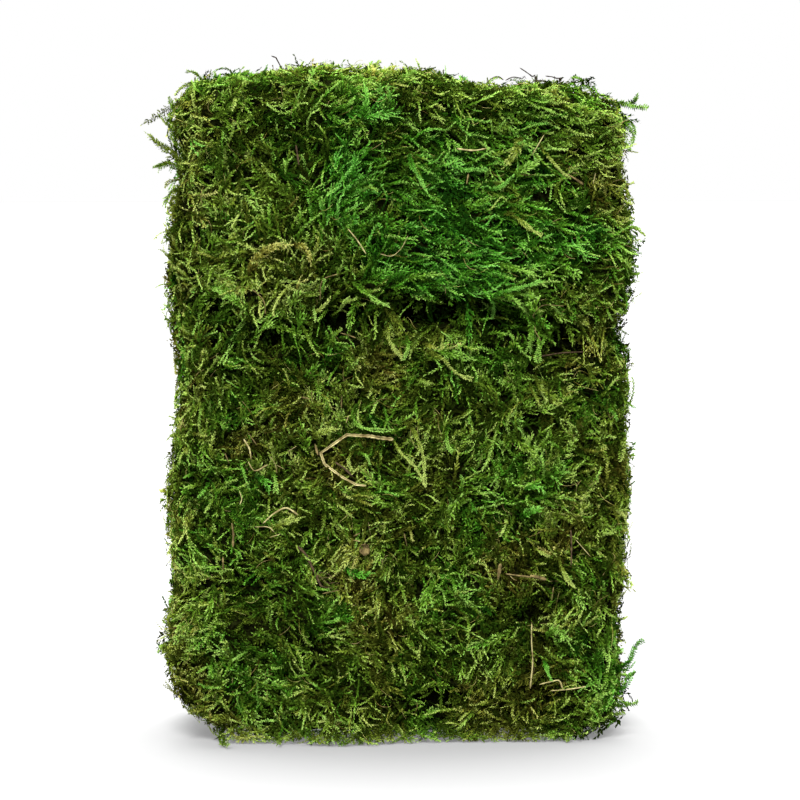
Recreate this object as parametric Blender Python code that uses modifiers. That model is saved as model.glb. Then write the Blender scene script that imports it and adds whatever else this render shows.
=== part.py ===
"""Moss clump: a pressed block of dried sheet moss that stands on its short edge.

A thick stack of sheets makes the back. In front of it a lower sheet covers the bottom
part, and an upper sheet hangs over the top and stands a little proud, so that its lower
edge is a wavy ledge. Straws, twigs and chips of wood are caught in the moss.
X runs along the width, -Y is the front and Z is up. The clump stands on Z = 0.
"""

import math

import bmesh
import bpy
from mathutils import Vector, noise
from mathutils.bvhtree import BVHTree

MM = 0.001

# Overall size
HEIGHT = 250 * MM
HALF_WIDTH = 85.5 * MM
FRONT_UPPER = -38 * MM
FRONT_LOWER = -33.5 * MM
BACK = 38.5 * MM

# Where the sheets meet
STACK_FRONT = -12 * MM
STACK_TOP = 232 * MM
SEAM_MIDDLE = 154 * MM
GAP = 0.4 * MM
LEDGE_GAP = 1.2 * MM

# Height, left edge and right edge of the clump seen from the front, in millimetres
SIDE_OUTLINE = [
    (0, -61, 75),
    (1.5, -65, 78),
    (5, -71, 82),
    (10, -77.5, 84),
    (16, -82.5, 85.5),
    (24, -86, 85),
    (38, -85.5, 84),
    (48, -85, 82),
    (60, -85, 86),
    (92, -84.5, 87.5),
    (110, -84.5, 85),
    (140, -82, 85.5),
    (153, -82, 83.5),
    (166, -83.5, 87),
    (185, -84.5, 88),
    (200, -83.5, 87.5),
    (208, -81.5, 85),
    (215, -79, 82),
    (222, -79.5, 84.5),
    (232, -81, 83.5),
    (238, -80.5, 79),
    (243, -76, 72),
    (247, -69, 61),
    (250, -64, 53),
]

# Place along the width and height of the top, in millimetres
TOP_OUTLINE = [
    (-86, 245),
    (-70, 248),
    (-60, 250.5),
    (-45, 251),
    (-5, 249),
    (14, 248),
    (22, 246.5),
    (60, 245),
    (86, 239),
]

# Place along the width and height of the ledge, in millimetres
LEDGE_OUTLINE = [
    (-86, 166.5),
    (-79, 164.5),
    (-58.4, 154.5),
    (-36.5, 152),
    (-25.6, 159.8),
    (0.3, 161.2),
    (33, 162.8),
    (47, 157.6),
    (71, 149.6),
    (86, 152),
]

# Lumps: the size of a lump, how far it stands out, and where its pattern is read
LUMPS = [
    (30 * MM, 6.5 * MM, Vector((3.1, 7.7, 1.9))),
    (14 * MM, 4.5 * MM, Vector((8.4, 2.6, 5.3))),
]
CALM_BAND = 9 * MM

# Pits in the front: place across, height, half width, half height and depth, in millimetres
PITS = [
    (-18.6, 156.2, 7, 3.6, 8),
    (-47.5, 151.4, 7, 3.8, 8),
    (-65.4, 150.6, 4, 3, 7),
    (61.4, 147, 7, 3.4, 8),
    (50.6, 119.2, 6, 5.5, 9),
    (50.7, 48.7, 7, 6, 6),
    (15.5, 16.2, 8, 3.4, 7),
    (48.8, 19.4, 7, 3, 6),
    (-56.7, 43, 4.5, 3.2, 6),
    (-14.2, 105.6, 2.8, 2.6, 6),
]

# Fronds that reach past a sheet: radius at the root and tip, then points in millimetres
UPPER_SPRIGS = {
    "left_long": (1.6, 0.6, [(-74, -25, 210), (-80, -26, 216), (-86, -27, 220.5), (-92.5, -28, 226.5)]),
    "left_fork": (1.3, 0.6, [(-74, -22, 216), (-80, -22, 220), (-83, -22, 225.5)]),
    "left_upper": (1.3, 0.6, [(-75, -16, 226), (-82.5, -17, 227), (-86.5, -18, 231)]),
    "left_top": (1.3, 0.6, [(-75, -17, 229), (-81, -17, 233), (-84.5, -18, 236.5)]),
    "left_low": (1.3, 0.6, [(-75, -30, 214), (-83, -31, 215.5), (-87.5, -32, 213)]),
    "corner": (1.6, 0.7, [(-70, -6, 241), (-77, -7, 243.5), (-81.5, -8, 241)]),
    "top_left": (1.6, 0.7, [(-66, 4, 241), (-73, 4, 245), (-78, 4, 248.5)]),
    "right_long": (2.0, 0.8, [(74, -6, 236), (82, -8, 237), (88, -9, 236), (92.5, -10, 235)]),
    "right_second": (1.3, 0.6, [(79, -20, 232), (84.5, -21, 232), (88.5, -22, 229)]),
    "right_curl": (1.3, 0.7, [(80, -18, 228), (87, -20, 227), (88.5, -20, 222), (85, -18, 218)]),
    "top_right": (1.5, 0.7, [(70, 2, 237), (71.5, 0, 242.5), (68.5, 0, 245.5)]),
    "hanging_tuft": (2.3, 1.2, [(50.4, -33, 165), (50.4, -39, 160), (51, -40.3, 153), (50.5, -40.6, 147)]),
}
LOWER_SPRIGS = {
    "right_tip": (1.6, 0.6, [(79, -24, 20), (85.5, -25, 25.5), (88.5, -26, 31), (92.5, -27, 34.5)]),
    "right_middle": (1.3, 0.6, [(79, -20, 12), (86, -21, 19), (89.5, -22, 22)]),
    "right_bottom": (1.6, 0.7, [(76, -28, 8), (84, -29, 10.5), (90, -30, 13)]),
    "foot_left": (1.2, 0.6, [(-67, -29, 7), (-65, -38, 3), (-62.5, -45, 1.2)]),
    "foot_middle": (1.2, 0.6, [(-46, -28, 5), (-45.5, -37, 2.6), (-45, -43, 1.2)]),
}

# Straws and twigs on the front: radius, then places across and heights in millimetres
FRONT_STRAWS = {
    "bent_straw": (0.65, [
        (-2, 114),
        (-10.5, 115),
        (-18, 115.7),
        (-20, 115.2),
        (-27.6, 109.8),
        (-28.7, 108.5),
        (-27.5, 104.9),
        (-21, 100.3),
        (-16, 97.5),
        (-12.2, 97.1),
    ]),
    "arched_straw": (0.45, [(-50.2, 82.9), (-46, 86.5), (-41.7, 88.3), (-37.2, 85.8)]),
    "upright_stalk": (0.4, [(49.4, 45), (49.3, 37.7), (49.8, 30.6), (49, 20)]),
    "dark_twig": (0.4, [(63.8, 79.5), (63.8, 66.3)]),
    "left_straw_upper": (0.4, [(-57.2, 114), (-55.1, 110.5), (-54.5, 106.8)]),
    "left_straw_lower": (0.4, [(-55.6, 105.5), (-53.5, 102.6), (-48.4, 104.4)]),
    "brown_root": (0.6, [(-37.4, 74), (-34.7, 71.2), (-32.2, 66.5), (-30.7, 63.7), (-28.8, 59.3)]),
    "bottom_straw_left": (0.4, [(52.3, 21.8), (56.9, 22.8), (59.6, 22.9), (61, 19.8)]),
    "bottom_straw_right": (0.4, [(62.6, 19.2), (69.6, 20.8)]),
    "upper_straw": (0.4, [(21.2, 220.7), (27.7, 220.2), (32.1, 221)]),
    "upper_stick": (0.5, [(-37.6, 222.3), (-36.7, 215.4)]),
    "thin_straw": (0.4, [(-18.8, 191.9), (-15.5, 187.8), (-12.2, 182.6)]),
    "pink_stem": (0.4, [(61.4, 211.6), (67.3, 207.8)]),
}

# Twigs on the top: radius, then places across, places in depth and lifts in millimetres
TOP_TWIGS = {
    "top_twig_long": (0.5, [(45.5, 0, 2.6), (48, -1, 1.6), (50.5, -2, 0.3), (54, -3, 0)]),
    "top_twig_short": (0.5, [(55.5, 3, 0), (61, 2, 0), (64, 1, 1)]),
    "top_stem": (0.5, [(35, 0, 0), (40, 1, 0), (43, 1, 0.5)]),
}

# Chips of wood on the front: place across, height, half length, half width, half thickness, turn
WOOD_CHIPS = {
    "wood_chip_upright": (37, 65, 2.9, 0.85, 0.5, 82),
    "wood_chip_level": (52, 62, 2.7, 0.75, 0.5, -10),
}

HUSK_PLACE = (-12.8, 73.4)
HUSK_RADIUS = 2.1 * MM
HUSK_WALL = 0.6 * MM

STRAW_STEP = 2.8 * MM
CLEARANCE = 0.4 * MM
FAR_AWAY = 0.2

MOSS_ROUGHNESS = 0.9
STRAW_ROUGHNESS = 0.6


def clear_scene():
    for item in list(bpy.data.objects):
        bpy.data.objects.remove(item, do_unlink=True)


def new_collection(name):
    collection = bpy.data.collections.new(name)
    bpy.context.scene.collection.children.link(collection)
    return collection


def plain_material(name, color, roughness):
    material = bpy.data.materials.new(name)
    material.use_nodes = True
    shader = material.node_tree.nodes["Principled BSDF"]
    shader.inputs["Base Color"].default_value = (*color, 1)
    shader.inputs["Roughness"].default_value = roughness
    shader.inputs["Metallic"].default_value = 0
    return material


def add_object(name, mesh, collection, material):
    item = bpy.data.objects.new(name, mesh)
    item.data.materials.append(material)
    collection.objects.link(item)
    return item


def read_outline(table, place, column=1):
    """Value of one column of a table of millimetres at a place, eased between its rows."""
    rows = [(row[0] * MM, row[column] * MM) for row in table]
    if place <= rows[0][0]:
        return rows[0][1]
    for (start, low), (end, high) in zip(rows, rows[1:]):
        if place <= end:
            part = (place - start) / (end - start)
            return low + (high - low) * part * part * (3 - 2 * part)
    return rows[-1][1]


def follow_side_outline(point):
    left = read_outline(SIDE_OUTLINE, point.z, 1)
    right = read_outline(SIDE_OUTLINE, point.z, 2)
    across = (point.x + HALF_WIDTH) / (2 * HALF_WIDTH)
    return Vector((left + (right - left) * across, point.y, point.z))


def lower_outline(point):
    """The lower sheet ends under the ledge."""
    top = read_outline(LEDGE_OUTLINE, point.x) - LEDGE_GAP / 2
    return follow_side_outline(Vector((point.x, point.y, point.z * top / SEAM_MIDDLE)))


def upper_outline(point):
    """The upper sheet starts at the ledge, and its top follows the top outline."""
    bottom = read_outline(LEDGE_OUTLINE, point.x) + LEDGE_GAP / 2
    height = HEIGHT - (HEIGHT - point.z) * (HEIGHT - bottom) / (HEIGHT - SEAM_MIDDLE)
    if height > STACK_TOP:
        cap = read_outline(TOP_OUTLINE, point.x) - STACK_TOP
        height = STACK_TOP + (height - STACK_TOP) * cap / (HEIGHT - STACK_TOP)
    return follow_side_outline(Vector((point.x, point.y, height)))


# Each sheet: its lowest and highest corner before it follows the outline, the rounding
# of its edges at the low and high side of each axis, and the slices between them
SHEETS = {
    "moss_stack": {
        "low": Vector((-HALF_WIDTH, STACK_FRONT, 0)),
        "high": Vector((HALF_WIDTH, BACK, STACK_TOP)),
        "round_low": Vector((9, 3, 4)) * MM,
        "round_high": Vector((9, 13, 4)) * MM,
        "slices": (11, 3, 16),
        "outline": follow_side_outline,
    },
    "lower_sheet": {
        "low": Vector((-HALF_WIDTH, FRONT_LOWER, 0)),
        "high": Vector((HALF_WIDTH, STACK_FRONT - GAP, SEAM_MIDDLE)),
        "round_low": Vector((11, 11, 5)) * MM,
        "round_high": Vector((11, 3, 5)) * MM,
        "slices": (16, 1, 15),
        "outline": lower_outline,
    },
    "upper_sheet": {
        "low": Vector((-HALF_WIDTH, FRONT_UPPER, SEAM_MIDDLE)),
        "high": Vector((HALF_WIDTH, BACK, HEIGHT)),
        "round_low": Vector((11, 12, 8)) * MM,
        "round_high": Vector((11, 12, 15)) * MM,
        "slices": (16, 5, 8),
        "outline": upper_outline,
    },
}
EDGE_SLICE = 0.4


def slice_places(low, high, round_low, round_high, count):
    """Where one side is sliced: evenly between its rounded edges, and once in each edge."""
    first = low + round_low
    last = high - round_high
    places = [low + EDGE_SLICE * round_low]
    places += [first + (last - first) * step / count for step in range(count + 1)]
    return places + [high - EDGE_SLICE * round_high]


def sliced_box(sheet):
    """A box cut along its three axes, so that its faces can take a form."""
    low = sheet["low"]
    high = sheet["high"]
    form = bmesh.new()
    bmesh.ops.create_cube(form, size=1)
    for vert in form.verts:
        share = vert.co + Vector((0.5, 0.5, 0.5))
        vert.co = low + Vector([share[i] * (high[i] - low[i]) for i in range(3)])
    for axis in range(3):
        normal = Vector([float(i == axis) for i in range(3)])
        for place in slice_places(
            low[axis],
            high[axis],
            sheet["round_low"][axis],
            sheet["round_high"][axis],
            sheet["slices"][axis],
        ):
            everything = form.verts[:] + form.edges[:] + form.faces[:]
            bmesh.ops.bisect_plane(form, geom=everything, plane_co=normal * place, plane_no=normal)
    return form


def round_off(point, sheet):
    """Moves a point on the box to the rounded box: each edge follows part of an ellipse."""
    core = Vector()
    reach = Vector()
    radius = Vector()
    for axis in range(3):
        first = sheet["low"][axis] + sheet["round_low"][axis]
        last = sheet["high"][axis] - sheet["round_high"][axis]
        core[axis] = min(max(point[axis], first), last)
        radius[axis] = sheet["round_low"][axis] if point[axis] < first else sheet["round_high"][axis]
        reach[axis] = (point[axis] - core[axis]) / radius[axis]
    if reach.length > 0:
        reach.normalize()
    return core + Vector([reach[i] * radius[i] for i in range(3)])


def lump_height(point):
    return sum(
        height * noise.noise(point / size + pattern) for size, height, pattern in LUMPS
    )


def calm(distance):
    """Rises from 0 at a face that lies against another piece to 1 a little away from it."""
    share = min(max(abs(distance) / CALM_BAND, 0), 1)
    return share * share * (3 - 2 * share)


def add_lumps(form, name):
    """Pushes the faces in and out, but leaves flat what lies against another sheet or the ground."""
    form.normal_update()
    normals = [vert.normal.copy() for vert in form.verts]
    for vert, normal in zip(form.verts, normals):
        point = vert.co.copy()
        move = normal * lump_height(point)
        move.z *= calm(point.z)
        if name == "upper_sheet":
            move.z *= calm(point.z - read_outline(LEDGE_OUTLINE, point.x))
        elif name == "lower_sheet":
            move.z *= calm(point.z - read_outline(LEDGE_OUTLINE, point.x))
            move.y *= calm(point.y - STACK_FRONT + GAP)
        else:
            move.z *= calm(point.z - STACK_TOP)
            move.y *= calm(point.y - STACK_FRONT)
        vert.co = point + move


def form_to_mesh(form, name):
    bmesh.ops.recalc_face_normals(form, faces=form.faces)
    mesh = bpy.data.meshes.new(name)
    form.to_mesh(mesh)
    form.free()
    return mesh


def add_sheet(name, sheet, collection, material):
    form = sliced_box(sheet)
    for vert in form.verts:
        vert.co = sheet["outline"](round_off(vert.co, sheet))
    add_lumps(form, name)
    item = add_object(name, form_to_mesh(form, name), collection, material)
    item.data.shade_smooth()
    return item


def smooth_path(points, step):
    """Points about one step apart on a smooth curve through the given points."""
    ends = [points[0] * 2 - points[1]] + points + [points[-1] * 2 - points[-2]]
    path = []
    for i in range(1, len(ends) - 2):
        before, start, end, after = ends[i - 1:i + 3]
        count = max(1, round((end - start).length / step))
        for k in range(count):
            t = k / count
            bend = (before * 2 - start * 5 + end * 4 - after) * t * t
            twist = (start * 3 - before - end * 3 + after) * t * t * t
            path.append((start * 2 + (end - before) * t + bend + twist) / 2)
    return path + [points[-1].copy()]


def tube_mesh(name, path, radii):
    """A closed tube of changing radius along a path."""
    curve = bpy.data.curves.new(name, "CURVE")
    curve.dimensions = "3D"
    curve.bevel_depth = 1
    curve.bevel_resolution = 1
    curve.use_fill_caps = True
    spline = curve.splines.new("POLY")
    spline.points.add(len(path) - 1)
    for target, point, radius in zip(spline.points, path, radii):
        target.co = (*point, 1)
        target.radius = radius
    holder = bpy.data.objects.new(name, curve)
    bpy.context.scene.collection.objects.link(holder)
    depsgraph = bpy.context.evaluated_depsgraph_get()
    mesh = bpy.data.meshes.new_from_object(holder.evaluated_get(depsgraph))
    bpy.data.objects.remove(holder, do_unlink=True)
    form = bmesh.new()
    form.from_mesh(mesh)
    bmesh.ops.remove_doubles(form, verts=form.verts, dist=0.01 * MM)
    bmesh.ops.recalc_face_normals(form, faces=form.faces)
    form.to_mesh(mesh)
    form.free()
    return mesh


def add_cutter(name, mesh, collection, material):
    cutter = add_object(name, mesh, collection, material)
    cutter.hide_render = True
    cutter.display_type = "WIRE"
    return cutter


def combine(target, cutter, operation):
    modifier = target.modifiers.new(cutter.name, "BOOLEAN")
    modifier.operation = operation
    modifier.solver = "EXACT"
    modifier.object = cutter


def add_sprigs(target, sprigs, collection, material):
    for name, (root, tip, points) in sprigs.items():
        path = smooth_path([Vector(point) * MM for point in points], 5 * MM)
        last = len(path) - 1
        radii = [(root + (tip - root) * i / last) * MM for i in range(last + 1)]
        cutter = add_cutter("sprig_" + name, tube_mesh(name, path, radii), collection, material)
        combine(target, cutter, "UNION")


def add_pits(upper, lower, collection, material):
    for number, (across, height, half_width, half_height, depth) in enumerate(PITS):
        form = bmesh.new()
        bmesh.ops.create_icosphere(form, subdivisions=2, radius=1)
        ledge = read_outline(LEDGE_OUTLINE, across * MM)
        near_ledge = abs(height * MM - ledge) < half_height * MM + LUMPS[0][1]
        front = FRONT_UPPER if height * MM > ledge else FRONT_LOWER
        for vert in form.verts:
            rough = 1 + 0.25 * noise.noise(vert.co * 1.5 + Vector((number, 0, 0)))
            size = Vector((half_width, depth, half_height)) * MM * rough
            place = Vector([vert.co[i] * size[i] for i in range(3)])
            vert.co = place + Vector((across * MM, front, height * MM))
        cutter = add_cutter(f"pit_{number}", form_to_mesh(form, "pit"), collection, material)
        if near_ledge or height * MM > ledge:
            combine(upper, cutter, "DIFFERENCE")
        if near_ledge or height * MM < ledge:
            combine(lower, cutter, "DIFFERENCE")


def hollow_upper_sheet(upper, collection, material):
    """Takes out the room of the stack, which leaves the front and the folded top."""
    form = bmesh.new()
    bmesh.ops.create_cube(form, size=1)
    low = Vector((-FAR_AWAY, STACK_FRONT - GAP, -FAR_AWAY))
    high = Vector((FAR_AWAY, FAR_AWAY, STACK_TOP + GAP))
    for vert in form.verts:
        share = vert.co + Vector((0.5, 0.5, 0.5))
        vert.co = low + Vector([share[i] * (high[i] - low[i]) for i in range(3)])
    cutter = add_cutter("stack_room", form_to_mesh(form, "stack_room"), collection, material)
    combine(upper, cutter, "DIFFERENCE")


def surface_trees(sheets):
    depsgraph = bpy.context.evaluated_depsgraph_get()
    depsgraph.update()
    return [BVHTree.FromObject(sheet, depsgraph) for sheet in sheets]


def nearest_hit(trees, start, direction):
    """How far along a direction the first sheet lies, or None past the edge of the clump."""
    hits = [tree.ray_cast(start, direction)[3] for tree in trees]
    found = [distance for distance in hits if distance is not None]
    return min(found) if found else None


def room_around(trees, point, radius, direction):
    """Distance to the sheets under a round spot of the given radius."""
    side = direction.orthogonal().normalized()
    other = direction.cross(side)
    spots = [Vector(), side, -side, other, -other]
    hits = [nearest_hit(trees, point + spot * radius, direction) for spot in spots]
    found = [distance for distance in hits if distance is not None]
    return min(found) if found else FAR_AWAY


def lay_path(trees, path, radius, direction):
    """Moves each point of a path along a direction until the tube just clears the sheets."""
    reach = radius + CLEARANCE
    room = [room_around(trees, point, reach, direction) for point in path]
    laid = []
    for i, point in enumerate(path):
        least = min(room[max(i - 1, 0):i + 2])
        laid.append(point + direction * (least - reach))
    return laid


def add_front_straws(trees, collection, materials):
    inward = Vector((0, 1, 0))
    for name, (radius, points) in FRONT_STRAWS.items():
        flat = [Vector((across, 0, height)) * MM - inward * FAR_AWAY for across, height in points]
        path = lay_path(trees, smooth_path(flat, STRAW_STEP), radius * MM, inward)
        radii = [radius * MM] * len(path)
        wood = name in ("dark_twig", "brown_root", "upper_stick")
        material = materials["twig"] if wood else materials["straw"]
        add_object(name, tube_mesh(name, path, radii), collection, material)


def add_top_twigs(trees, collection, material):
    down = Vector((0, 0, -1))
    for name, (radius, points) in TOP_TWIGS.items():
        flat = [Vector((across * MM, depth * MM, 2 * HEIGHT)) for across, depth, lift in points]
        lifts = [Vector((0, 0, lift * MM)) for across, depth, lift in points]
        laid = lay_path(trees, flat, radius * MM, down)
        path = smooth_path([point + lift for point, lift in zip(laid, lifts)], STRAW_STEP)
        radii = [radius * MM] * len(path)
        add_object(name, tube_mesh(name, path, radii), collection, material)


def add_wood_chips(trees, collection, material):
    inward = Vector((0, 1, 0))
    for name, (across, height, *half_sizes, turn) in WOOD_CHIPS.items():
        half_length, half_width, half_thickness = [size * MM for size in half_sizes]
        start = Vector((across * MM, -FAR_AWAY, height * MM))
        along = Vector((math.cos(math.radians(turn)), 0, math.sin(math.radians(turn))))
        spots = [start + along * half_length * share for share in (-1, -0.5, 0, 0.5, 1)]
        room = min(room_around(trees, spot, half_width, inward) for spot in spots)
        bpy.ops.mesh.primitive_cube_add(size=2)
        chip = bpy.context.active_object
        chip.name = name
        chip.data.name = name
        chip.scale = (half_length, half_thickness, half_width)
        bpy.ops.object.transform_apply(location=False, rotation=False, scale=True)
        chip.rotation_euler = (0, -math.radians(turn), 0)
        chip.location = start + inward * (room - half_thickness - CLEARANCE)
        chip.data.materials.append(material)
        bpy.context.collection.objects.unlink(chip)
        collection.objects.link(chip)


def add_husk(trees, collection, material):
    """A curled dry leaf: half a hollow ball that opens to the front."""
    form = bmesh.new()
    bmesh.ops.create_icosphere(form, subdivisions=2, radius=HUSK_RADIUS)
    everything = form.verts[:] + form.edges[:] + form.faces[:]
    bmesh.ops.bisect_plane(
        form, geom=everything, plane_co=(0, 0, 0), plane_no=(0, -1, 0), clear_outer=True
    )
    husk = add_object("curled_husk", form_to_mesh(form, "curled_husk"), collection, material)
    wall = husk.modifiers.new("wall", "SOLIDIFY")
    wall.thickness = HUSK_WALL
    wall.offset = -1
    inward = Vector((0, 1, 0))
    start = Vector((HUSK_PLACE[0] * MM, -FAR_AWAY, HUSK_PLACE[1] * MM))
    room = room_around(trees, start, HUSK_RADIUS, inward)
    husk.location = start + inward * (room - HUSK_RADIUS - CLEARANCE)


def stand_on_origin(clump, tools):
    """Puts the middle of the clump's footprint over the origin, with one empty for all."""
    depsgraph = bpy.context.evaluated_depsgraph_get()
    corners = []
    for item in clump.objects:
        seen = item.evaluated_get(depsgraph)
        corners += [item.matrix_world @ Vector(corner) for corner in seen.bound_box]
    low = [min(corner[axis] for corner in corners) for axis in range(3)]
    high = [max(corner[axis] for corner in corners) for axis in range(3)]
    base = bpy.data.objects.new("clump_base", None)
    clump.objects.link(base)
    for item in clump.objects[:] + tools.objects[:]:
        if item is not base:
            item.parent = base
    base.location = (-(low[0] + high[0]) / 2, -(low[1] + high[1]) / 2, -low[2])


def build_clump():
    clear_scene()
    clump = new_collection("moss_clump")
    tools = new_collection("cutters")
    moss = {
        "moss_stack": plain_material("moss_deep", (0.07, 0.09, 0.02), MOSS_ROUGHNESS),
        "lower_sheet": plain_material("moss_olive", (0.08, 0.11, 0.025), MOSS_ROUGHNESS),
        "upper_sheet": plain_material("moss_green", (0.06, 0.15, 0.02), MOSS_ROUGHNESS),
    }
    dry = {
        "straw": plain_material("dry_straw", (0.45, 0.36, 0.17), STRAW_ROUGHNESS),
        "twig": plain_material("brown_twig", (0.12, 0.06, 0.03), STRAW_ROUGHNESS),
    }
    sheets = {
        name: add_sheet(name, sheet, clump, moss[name]) for name, sheet in SHEETS.items()
    }
    add_sprigs(sheets["upper_sheet"], UPPER_SPRIGS, tools, moss["upper_sheet"])
    add_sprigs(sheets["lower_sheet"], LOWER_SPRIGS, tools, moss["lower_sheet"])
    add_pits(sheets["upper_sheet"], sheets["lower_sheet"], tools, moss["lower_sheet"])
    hollow_upper_sheet(sheets["upper_sheet"], tools, moss["upper_sheet"])
    trees = surface_trees(sheets.values())
    add_front_straws(trees, clump, dry)
    add_top_twigs(trees, clump, dry["twig"])
    add_wood_chips(trees, clump, dry["straw"])
    add_husk(trees, clump, dry["twig"])
    stand_on_origin(clump, tools)


build_clump()
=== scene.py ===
"""Looks of the moss clump: leafy fronds, shoots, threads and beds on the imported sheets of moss."""
import math
from collections import namedtuple

import bmesh
import bpy
import numpy as np
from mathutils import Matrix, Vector, noise
from mathutils.bvhtree import BVHTree


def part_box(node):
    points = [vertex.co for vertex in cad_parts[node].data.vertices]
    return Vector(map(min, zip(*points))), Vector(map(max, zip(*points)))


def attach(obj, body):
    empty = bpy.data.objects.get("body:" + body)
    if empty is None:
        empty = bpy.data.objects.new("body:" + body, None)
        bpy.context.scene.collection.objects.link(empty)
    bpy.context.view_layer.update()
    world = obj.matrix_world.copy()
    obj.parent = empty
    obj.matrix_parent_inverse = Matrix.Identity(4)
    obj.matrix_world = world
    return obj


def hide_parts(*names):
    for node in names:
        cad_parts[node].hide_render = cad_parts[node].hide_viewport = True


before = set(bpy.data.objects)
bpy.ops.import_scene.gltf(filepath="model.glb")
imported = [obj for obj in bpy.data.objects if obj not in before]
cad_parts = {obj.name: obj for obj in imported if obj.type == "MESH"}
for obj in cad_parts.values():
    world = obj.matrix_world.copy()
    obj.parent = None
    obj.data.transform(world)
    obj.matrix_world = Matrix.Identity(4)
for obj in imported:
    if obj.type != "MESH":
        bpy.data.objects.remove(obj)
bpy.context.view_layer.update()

MM = 0.001
SHEETS = ("upper_sheet", "lower_sheet", "moss_stack")
STACK_FRONT_IN_CAD = -12 * MM
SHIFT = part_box("moss_stack")[0].y - STACK_FRONT_IN_CAD
MOST_TRIANGLES = 190000
WELD = 0.001 * MM
PALETTE_MAP = "OFBake"

# Camera, set like the photo: sizes in metres, places in photo pixels
CAMERA_DISTANCE = 1.35
CAMERA_ELEVATION = math.radians(6)
CAMERA_AZIMUTH = math.radians(-1.5)
CAMERA_LENS = 161
CAMERA_TARGET = Vector((0.0012, 0, 0.1251))
PHOTO_SIDE = 800
SENSOR = 36
PIXEL = 0.37 * MM
PHOTO_MIDDLE = 399
PHOTO_BASE = 747


def rng(seed):
    return np.random.default_rng(seed)


def unit(vectors):
    length = np.linalg.norm(vectors, axis=-1, keepdims=True)
    return vectors / np.maximum(length, 1e-12)


def outward(azimuth, elevation):
    """Way from the clump to a place around it. Azimuth is from the front towards the right."""
    flat = math.cos(elevation)
    return Vector((math.sin(azimuth) * flat, -math.cos(azimuth) * flat, math.sin(elevation)))


def from_photo(px, py):
    """Place across and height on the front for a pixel of the photo."""
    return (px - PHOTO_MIDDLE) * PIXEL, (PHOTO_BASE - py) * PIXEL


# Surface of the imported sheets. SKIN is in millimetres

SKIN = 0.05
FREE_OVER = 1.5 * MM
LEAST_UNDER = 3.2 * MM
NORMAL_BLUR = 0.5 * MM
BESIDE_DEPTH = 20 * MM


def sheet_mesh(name):
    """Welded points and triangles of one packed sheet."""
    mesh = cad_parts[name].data
    mesh.calc_loop_triangles()
    co = np.empty(len(mesh.vertices) * 3)
    mesh.vertices.foreach_get("co", co)
    tri = np.empty(len(mesh.loop_triangles) * 3, dtype=np.int64)
    mesh.loop_triangles.foreach_get("vertices", tri)
    grid = np.round(co.reshape(-1, 3) / WELD).astype(np.int64)
    merged, inverse = np.unique(grid, axis=0, return_inverse=True)
    return merged * WELD, inverse.reshape(-1)[tri.reshape(-1, 3)]


class Surface:
    """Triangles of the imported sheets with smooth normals, for scattering and for finding places."""

    def __init__(self, names):
        points = []
        triangles = []
        start = 0
        for name in names:
            sheet, corners = sheet_mesh(name)
            points.append(sheet)
            triangles.append(corners + start)
            start += len(sheet)
        self.points = np.concatenate(points)
        self.triangles = np.concatenate(triangles)
        corners = self.points[self.triangles]
        cross = np.cross(corners[:, 1] - corners[:, 0], corners[:, 2] - corners[:, 0])
        self.areas = np.linalg.norm(cross, axis=1) / 2
        self.face_normals = unit(cross)
        normals = np.zeros_like(self.points)
        for corner in range(3):
            np.add.at(normals, self.triangles[:, corner], cross)
        self.normals = unit(normals)
        self.tree = BVHTree.FromPolygons(self.points.tolist(), self.triangles.tolist())

    def scatter(self, wanted, count, seed):
        """Random places spread evenly over the wanted triangles: points and normals."""
        draw = rng(seed)
        share = self.areas * wanted
        chosen = draw.choice(len(share), count, p=share / share.sum())
        a, b = draw.random((2, count))
        flip = a + b > 1
        a[flip] = 1 - a[flip]
        b[flip] = 1 - b[flip]
        weights = np.stack([1 - a - b, a, b], axis=1)[:, :, None]
        corners = self.triangles[chosen]
        points = (self.points[corners] * weights).sum(axis=1)
        normals = unit((self.normals[corners] * weights).sum(axis=1))
        return points, normals

    def outside(self, points, normals):
        """True where nothing lies just over the place and the sheet is thick under it."""
        free = np.zeros(len(points), dtype=bool)
        for i, (point, normal) in enumerate(zip(points, normals)):
            start = Vector(point)
            way = Vector(normal)
            over = self.tree.ray_cast(start + way * SKIN * MM, way, FREE_OVER)
            under = self.tree.ray_cast(start - way * SKIN * MM, -way, LEAST_UNDER)
            free[i] = over[0] is None and under[0] is None
        return free

    def smooth_normal(self, place, index):
        """Normal at a place on a triangle, between those of its corners."""
        corner = self.triangles[index]
        away = np.linalg.norm(self.points[corner] - np.array(place), axis=1)
        weight = 1 / (away + NORMAL_BLUR)
        return (self.normals[corner] * weight[:, None]).sum(axis=0)

    def nearest(self, points):
        """Nearest places on the sheets and their normals."""
        places = np.empty_like(points)
        normals = np.empty_like(points)
        for i, point in enumerate(points):
            place, _, index, _ = self.tree.find_nearest(Vector(point))
            places[i] = place
            normals[i] = self.smooth_normal(place, index)
        return places, unit(normals)

    def behind_pixel(self, px, py):
        """Place on the clump that a pixel of the photo shows, and its normal."""
        eye, right, up, ahead = camera_axes()
        focal = CAMERA_LENS / SENSOR * PHOTO_SIDE
        half = PHOTO_SIDE / 2
        way = (ahead * focal + right * (px - half) + up * (half - py)).normalized()
        place, _, index, _ = self.tree.ray_cast(eye, way)
        if place is None:
            place = eye + way * ((-eye.y - BESIDE_DEPTH) / way.y)
            return np.array(place), np.array((0.0, -1.0, 0.0))
        return np.array(place), unit(self.smooth_normal(place, index))


# Forms, in millimetres along the axis, across it and out of the sheet

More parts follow.
